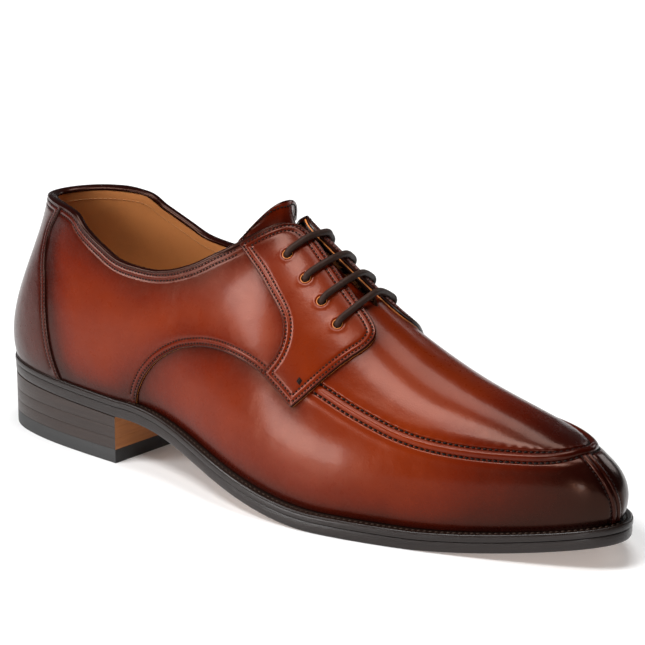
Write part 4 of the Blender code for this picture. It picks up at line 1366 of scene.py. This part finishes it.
def waxed_cord(name):
    finish = Finish(name, Specular_IOR_Level=0.12)
    strand = finish.noise(700.0, 3.0, 0.6)
    braid = finish.cells(2300.0)
    finish.bump((strand, 0.10), (braid, 0.06))
    return finish.paint(
        Base_Color=finish.blend(strand, (0.012, 0.0055, 0.0040), (0.040, 0.019, 0.013)),
        Roughness=0.40 + strand * 0.2,
    )


def smooth_path(points, count):
    at = curve_through(points)
    last = len(points) - 1
    spans = [(min(int(place), last - 1), place) for place in np.linspace(0, last, count)]
    return np.array([at(i, place - i) for i, place in spans])


cord_finish = waxed_cord("waxed_cord")
for number, (s, v) in enumerate(EYELETS, 1):
    legs = []
    for side in (-1, 1):
        at = s if side < 0 else ROUND - s
        leg = [on_last(at, v + step, rise) for step, rise in LACE_OVER]
        leg.append(on_last(at, *LACE_CREST))
        legs.append(leg)
    path = smooth_path(legs[0] + legs[1][::-1], 70)
    points, faces = round_cord(path, LACE_RADIUS, LACE_SIDES)
    bar = new_piece(f"lace_run_{number}", points, faces, [cord_finish], sharp=3.0)
    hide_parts(f"lace_bar_{number}")
for number, (near, far) in enumerate(zip(EYELETS, EYELETS[1:]), 1):
    start = on_last(ROUND - near[0], near[1] + 0.02, -3.0)
    end = on_last(far[0], far[1] + 0.02, -3.0)
    middle = (start + end) / 2 + (0, 0, -1.2)
    path = smooth_path([start, middle, end], 30)
    points, faces = round_cord(path, LACE_RADIUS * 0.9, LACE_SIDES)
    under = new_piece(f"lace_under_{number}", points, faces, [cord_finish], sharp=3.0)

# Insole. A sock of tan leather glued over the insole board, a little dished under the foot: it
# rises towards the lining on both sides.


def between_edges(stations, inset, count):
    """Plan points across the sole, lateral edge to medial edge, both moved in by an inset."""
    share = np.linspace(0, 1, count)[None, :, None]
    lateral, medial = (sole_outline(s, inset)[0][:, None] for s in (stations, ROUND - stations))
    return lateral * (1 - share) + medial * share


plan = between_edges(np.linspace(0.02, HALF - 0.02, 150), 6.3, 33)
edge_rise = 1.4 * (abs(np.linspace(0, 1, 33) * 2 - 1) ** 4)[None, :]
level = sole_bottom(plan[..., 0]) + WELT_TOP + 2.6 + edge_rise
sock = sheet_piece(
    "sock", np.concatenate([plan, level[..., None]], -1),
    np.concatenate([plan, level[..., None] - 2.4], -1), [lining, lining],
    {"burnish_and_shade": 0.25 + 0 * level}, flip=True,
)
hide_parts("insole")

# Welt. A strip of leather round the edge, dyed nearly black and waxed, its top edge bevelled and
# polished, with a row of light brown thread that holds it to the outsole.
SOLE_STATIONS = np.arange(0, ROUND, 1 / 48)


def edge_dye(name, colour, light, groove=0.16, roughness=0.36):
    """Dyed and waxed sole edge with fine grooves along it from the edge plane."""
    finish = Finish(name, Coat_Weight=0.12, Coat_Roughness=0.2, Specular_IOR_Level=0.25)
    along, up = finish.mark("around"), finish.mark("level")
    flow = finish.node("ShaderNodeCombineXYZ", values={"X": along * 0.02, "Y": up * 2.2})
    lines = finish.noise(1.0, 4.0, 0.6, place=flow)
    grain = finish.noise(800.0, 3.0)
    finish.bump((lines, groove), (grain, 0.04))
    tone = (lines * 1.6 - 0.45).clamped()
    return finish.paint(
        Base_Color=finish.blend(tone, colour, light), Roughness=roughness + (grain - 0.5) * 0.15
    )


def round_travel(grid):
    """Distance in millimetres round the sole, the same for each point of a grid's column."""
    steps = np.diff(grid[:, 0], axis=0, prepend=grid[:1, 0])
    return np.repeat(np.cumsum(np.linalg.norm(steps, axis=1)), grid.shape[1])


def edge_ring(name, profile, materials, slots):
    """Closed ring round the sole from a closed profile of (inset, height over the underside)."""
    grid = []
    for inset, height in profile:
        plan, _ = sole_outline(SOLE_STATIONS, inset)
        grid.append(np.column_stack([plan, sole_bottom(plan[:, 0]) + height]))
    grid = np.stack(grid, 1)
    columns, rows = grid.shape[:2]
    index = np.arange(columns * rows).reshape(columns, rows)
    after = np.roll(index, -1, 0)
    faces = np.stack([
        index, np.roll(index, -1, 1), np.roll(after, -1, 1), after,
    ], -1).reshape(-1, 4)
    marks = {
        "around": round_travel(grid),
        "level": np.tile([height + inset for inset, height in profile], columns),
        "burnish_and_shade": np.full(columns * rows, 0.9),
    }
    slots = np.tile(slots, columns)
    return new_piece(name, grid, faces, materials, marks=marks, slots=slots, sharp=0.6)


sole_dye = edge_dye("sole_edge_dye", (0.0065, 0.0036, 0.0028), (0.018, 0.0105, 0.0085))
welt_dye = edge_dye("welt_top_dye", (0.006, 0.0030, 0.0024), (0.018, 0.0095, 0.0070), 0.08, 0.30)
welt_profile = (
    (0.45, 4.72), (0.12, 4.85), (0.02, 5.15), (0.0, 5.9), (0.02, 6.55), (0.16, 6.95),
    (0.42, 7.08), (0.62, 7.16), (0.72, 7.42), (0.92, 7.60), (1.6, 7.66), (2.6, 7.62), (3.5, 7.62),
    (9.0, 7.6), (9.0, 4.9),
)
welt_slots = [0] * 5 + [1] * 8 + [0] * 2
welt = edge_ring("welt_strip", welt_profile, [sole_dye, welt_dye], welt_slots)
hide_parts("welt")
welt_thread = wax_thread("welt_thread", (0.016, 0.009, 0.006), (0.045, 0.025, 0.017))
stations = np.linspace(-6.9, 6.9, 1600)
plan, _ = sole_outline(stations, 2.5)
seat = np.column_stack([plan, sole_bottom(plan[:, 0]) + 7.70])
points, faces = thread_row(seat, (0, 0, 1), pitch=2.4, radius=0.31)
new_piece("stitches_welt", points, faces, [welt_thread], sharp=3.0)

# Outsole. Vegetable-tanned sole leather, sewn to the welt. Its edge is trimmed, dyed and ironed,
# and its underside is left natural. A sheet of the same leather fills the ring's middle.
outsole_profile = (
    (9.3, 4.6), (0.75, 4.6), (0.42, 4.42), (0.28, 4.0), (0.22, 2.9), (0.24, 1.6), (0.34, 0.8),
    (0.62, 0.22), (1.1, 0.02), (4.0, 0.0), (9.3, 0.0),
)


def sole_leather(name):
    """Underside of the sole: natural leather, sealed and lightly brushed."""
    finish = Finish(name, Roughness=0.45)
    cloud = finish.noise(30.0, 4.0, 0.6)
    fibre = finish.noise(500.0, 4.0, 0.65)
    finish.bump((fibre, 0.06),)
    return finish.paint(Base_Color=finish.blend(
        ((cloud - 0.5) * 1.4 + fibre * 0.5).clamped(), (0.30, 0.15, 0.065), (0.15, 0.065, 0.028)
    ))


bottom_leather = sole_leather("sole_underside")
outsole_slots = [0] * 8 + [1] * 2 + [0]
outsole = edge_ring("outsole_edge", outsole_profile, [sole_dye, bottom_leather], outsole_slots)
plan = between_edges(np.linspace(0.14, HALF - 0.14, 220), 9.2, 17)
under = sole_bottom(plan[..., 0])[..., None]
filler = sheet_piece(
    "outsole_middle", np.concatenate([plan, under + WELT_TOP], -1),
    np.concatenate([plan, under], -1), [bottom_leather, bottom_leather],
    {"burnish_and_shade": 0 * plan[..., 0]}, flip=True,
)
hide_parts("outsole")

# Heel. Three lifts of sole leather and a black rubber top lift, glued and nailed, trimmed together,
# and dyed like the sole's edge. The breast is cut straight and left in natural leather.
LIFT_LEVELS = (0.0, 6.0, 11.0, 16.0, None)
HEEL_INSET = 0.4
LIFT_JOINT = 0.05
BREAST_SLOPE = 0.25
# A lift's trimmed side: inset, share of its height
LIFT_SIDE = (
    (1.0, 0.0), (0.12, 0.0), (0.04, 0.010), (0.01, 0.03), (0.0, 0.5), (0.01, 0.97), (0.04, 0.990),
    (0.11, 1.0), (1.0, 1.0),
)


def heel_leather(name):
    """Cut face of the heel's breast: natural stacked leather."""
    finish = Finish(name, Roughness=0.5)
    layer = finish.noise(220.0, 4.0, 0.6, stretch=(1.0, 0.12, 3.0))
    finish.bump((layer, 0.12),)
    return finish.paint(
        Base_Color=finish.blend(layer, (0.20, 0.062, 0.015), (0.46, 0.17, 0.045))
    )


def black_rubber(name):
    finish = Finish(name, Roughness=0.55)
    dust = finish.noise(600.0, 4.0, 0.6)
    finish.bump((dust, 0.05),)
    return finish.paint(
        Base_Color=finish.blend(dust, (0.006, 0.0055, 0.0055), (0.016, 0.015, 0.015))
    )


breast = heel_leather("heel_breast")
rubber = black_rubber("top_lift_rubber")
lift_dye = edge_dye("heel_edge_dye", (0.010, 0.0058, 0.0045), (0.036, 0.020, 0.015), 0.14, 0.42)
fine = np.linspace(5.5, ROUND - 5.5, 4001)
plan, _ = sole_outline(fine, HEEL_INSET)
seated = fine[plan[:, 0] < HEEL_LENGTH]
stations = np.linspace(seated[0], seated[-1], 230)
for number, (bottom, top) in enumerate(zip(LIFT_LEVELS, LIFT_LEVELS[1:])):
    grid = []
    for inset, share in LIFT_SIDE:
        plan, _ = sole_outline(stations, HEEL_INSET + inset)
        front = HEEL_LENGTH - BREAST_SLOPE * inset
        plan[:, 0] = np.minimum(plan[:, 0], front)
        plan[[0, -1], 0] = front
        roof = np.full(len(plan), top or 0.0)
        if top is None:
            roof = sole_bottom(plan[:, 0] - 1e-3) - LIFT_JOINT
        floor_level = bottom + (LIFT_JOINT if number else 0.0)
        grid.append(np.column_stack([plan, floor_level + (roof - floor_level) * share]))
    grid = np.stack(grid, 1)
    columns, rows = grid.shape[:2]
    faces = grid_faces(columns, rows).tolist()
    slots = [0] * len(faces)
    last = (columns - 1) * rows
    faces += [[j, last + j, last + j + 1, j + 1] for j in range(rows - 1)]
    slots += [1 if number else 0] * (rows - 1)
    foot = np.arange(columns) * rows
    faces += [foot.tolist(), (foot[::-1] + rows - 1).tolist()]
    slots += [0, 0]
    marks = {"around": round_travel(grid), "level": grid[..., 2], "burnish_and_shade": 0 * grid[..., 2]}
    name = f"heel_piece_{number}" if number else "rubber_lift"
    lift = new_piece(
        name, grid, faces, [lift_dye, breast] if number else [rubber], marks=marks, slots=slots,
        sharp=0.6,
    )
    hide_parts(f"heel_lift_{number}" if number else "top_lift")

# Floor, lights and camera. A pale studio floor that glows as painted light: its glow grows further
# from the shoe, and it is painted lighter and glows more in a strip that runs from the camera past
# the shoe. Five soft boxes hang over the shoe and on its lateral side, each where its highlight on
# the leather asks for it, and a weak one stands behind. The camera stands where the picture's did.
CAMERA_AZIMUTH = 41.5
CAMERA_ELEVATION = 18.0
CAMERA_DISTANCE = 1.1
CAMERA_TARGET = (0.113, 0.0, 0.045)
CAMERA_SHIFT = (0.038, 0.086)
CAMERA_FOCUS = 2672.0
CAMERA_SENSOR = 36.0
PICTURE = 645.0
SHOE_MIDDLE = Vector((0.11, 0.0, 0.05))
FLOOR_SIZE = 6.0
# The painted light strip's direction over the floor as a share of y and x, and its offset, edge and
# spread
STRIP_Y, STRIP_X = 0.749, 0.663
STRIP_OFFSET = 0.05
STRIP_SPREAD = 0.12
STRIP_EDGE = (1.9, 2.6)
# Soft boxes: name, direction from the shoe, distance, width, height, brightness
SOFT_BOXES = (
    ("top_softbox", (0.02, 0.05, 1.0), 1.25, 0.78, 0.50, 7.6),
    ("quarter_softbox", (-0.56, -0.70, 0.46), 1.3, 0.36, 0.40, 18.0),
    ("vamp_softbox", (-0.32, -0.94, 0.09), 1.3, 0.44, 0.28, 21.0),
    ("front_softbox", (-0.07, -0.53, 0.85), 1.3, 0.60, 0.36, 18.0),
    ("toe_softbox", (0.50, -0.86, 0.08), 1.35, 0.13, 0.22, 22.0),
    ("back_softbox", (0.10, 1.0, 0.45), 1.4, 0.6, 0.4, 3.0),
)

floor_mesh = bpy.data.meshes.new("floor")
corners = [(x * FLOOR_SIZE, y * FLOOR_SIZE, 0) for x, y in ((-1, -1), (1, -1), (1, 1), (-1, 1))]
floor_mesh.from_pydata(corners, [], [(0, 1, 2, 3)])
floor = bpy.data.objects.new("floor", floor_mesh)
bpy.context.scene.collection.objects.link(floor)
floor_finish = Finish(
    "studio_floor", Roughness=0.40, Specular_IOR_Level=0.2, Emission_Strength=0.95,
)
spot = floor_finish.place()
across, along = (
    floor_finish.node("ShaderNodeSeparateXYZ", values={"Vector": spot}, output=axis)
    for axis in "XY"
)
away = across.maths("SQRT", across * across + along * along)
behind = along * STRIP_Y - across * STRIP_X
aside = across.maths("ABSOLUTE", across * STRIP_Y + along * STRIP_X - STRIP_OFFSET)
painted_light_strip = (STRIP_EDGE[0] - (aside - behind * STRIP_SPREAD) * STRIP_EDGE[1]).clamped()
# Painted light: the floor is painted lighter and glows more in the strip, and its glow grows away
# from the shoe up to a metre out.
floor_mesh.materials.append(floor_finish.paint(
    Base_Color=painted_light_strip * 0.24 + 0.62, Emission_Color=away.clamped() * (painted_light_strip * 0.45 + 0.55)
))

for name, way, distance, width, height, brightness in SOFT_BOXES:
    light = bpy.data.lights.new(name, "AREA")
    light.shape = "RECTANGLE"
    light.size = width
    light.size_y = height
    light.energy = brightness * math.pi * width * height
    lamp = bpy.data.objects.new(name, light)
    lamp.location = SHOE_MIDDLE + Vector(way).normalized() * distance
    lamp.rotation_mode = "QUATERNION"
    lamp.rotation_quaternion = (SHOE_MIDDLE - lamp.location).to_track_quat("-Z", "Y")
    bpy.context.scene.collection.objects.link(lamp)

world = bpy.data.worlds.new("studio")
world.use_nodes = True
backdrop = world.node_tree.nodes["Background"]
backdrop.inputs["Color"].default_value = (1, 1, 1, 1)
backdrop.inputs["Strength"].default_value = 0.05
bpy.context.scene.world = world
bpy.context.scene.view_settings.view_transform = "Standard"

camera_data = bpy.data.cameras.new("camera")
camera = bpy.data.objects.new("camera", camera_data)
bpy.context.scene.collection.objects.link(camera)
turn = math.radians(CAMERA_AZIMUTH)
tilt = math.radians(CAMERA_ELEVATION)
back = Vector((
    math.sin(turn) * math.cos(tilt), -math.cos(turn) * math.cos(tilt), math.sin(tilt),
))
camera.location = Vector(CAMERA_TARGET) + back * CAMERA_DISTANCE
camera.rotation_mode = "QUATERNION"
camera.rotation_quaternion = (-back).to_track_quat("-Z", "Y")
camera_data.sensor_width = CAMERA_SENSOR
camera_data.lens = CAMERA_FOCUS / PICTURE * CAMERA_SENSOR
camera_data.shift_x, camera_data.shift_y = CAMERA_SHIFT
bpy.context.scene.camera = camera
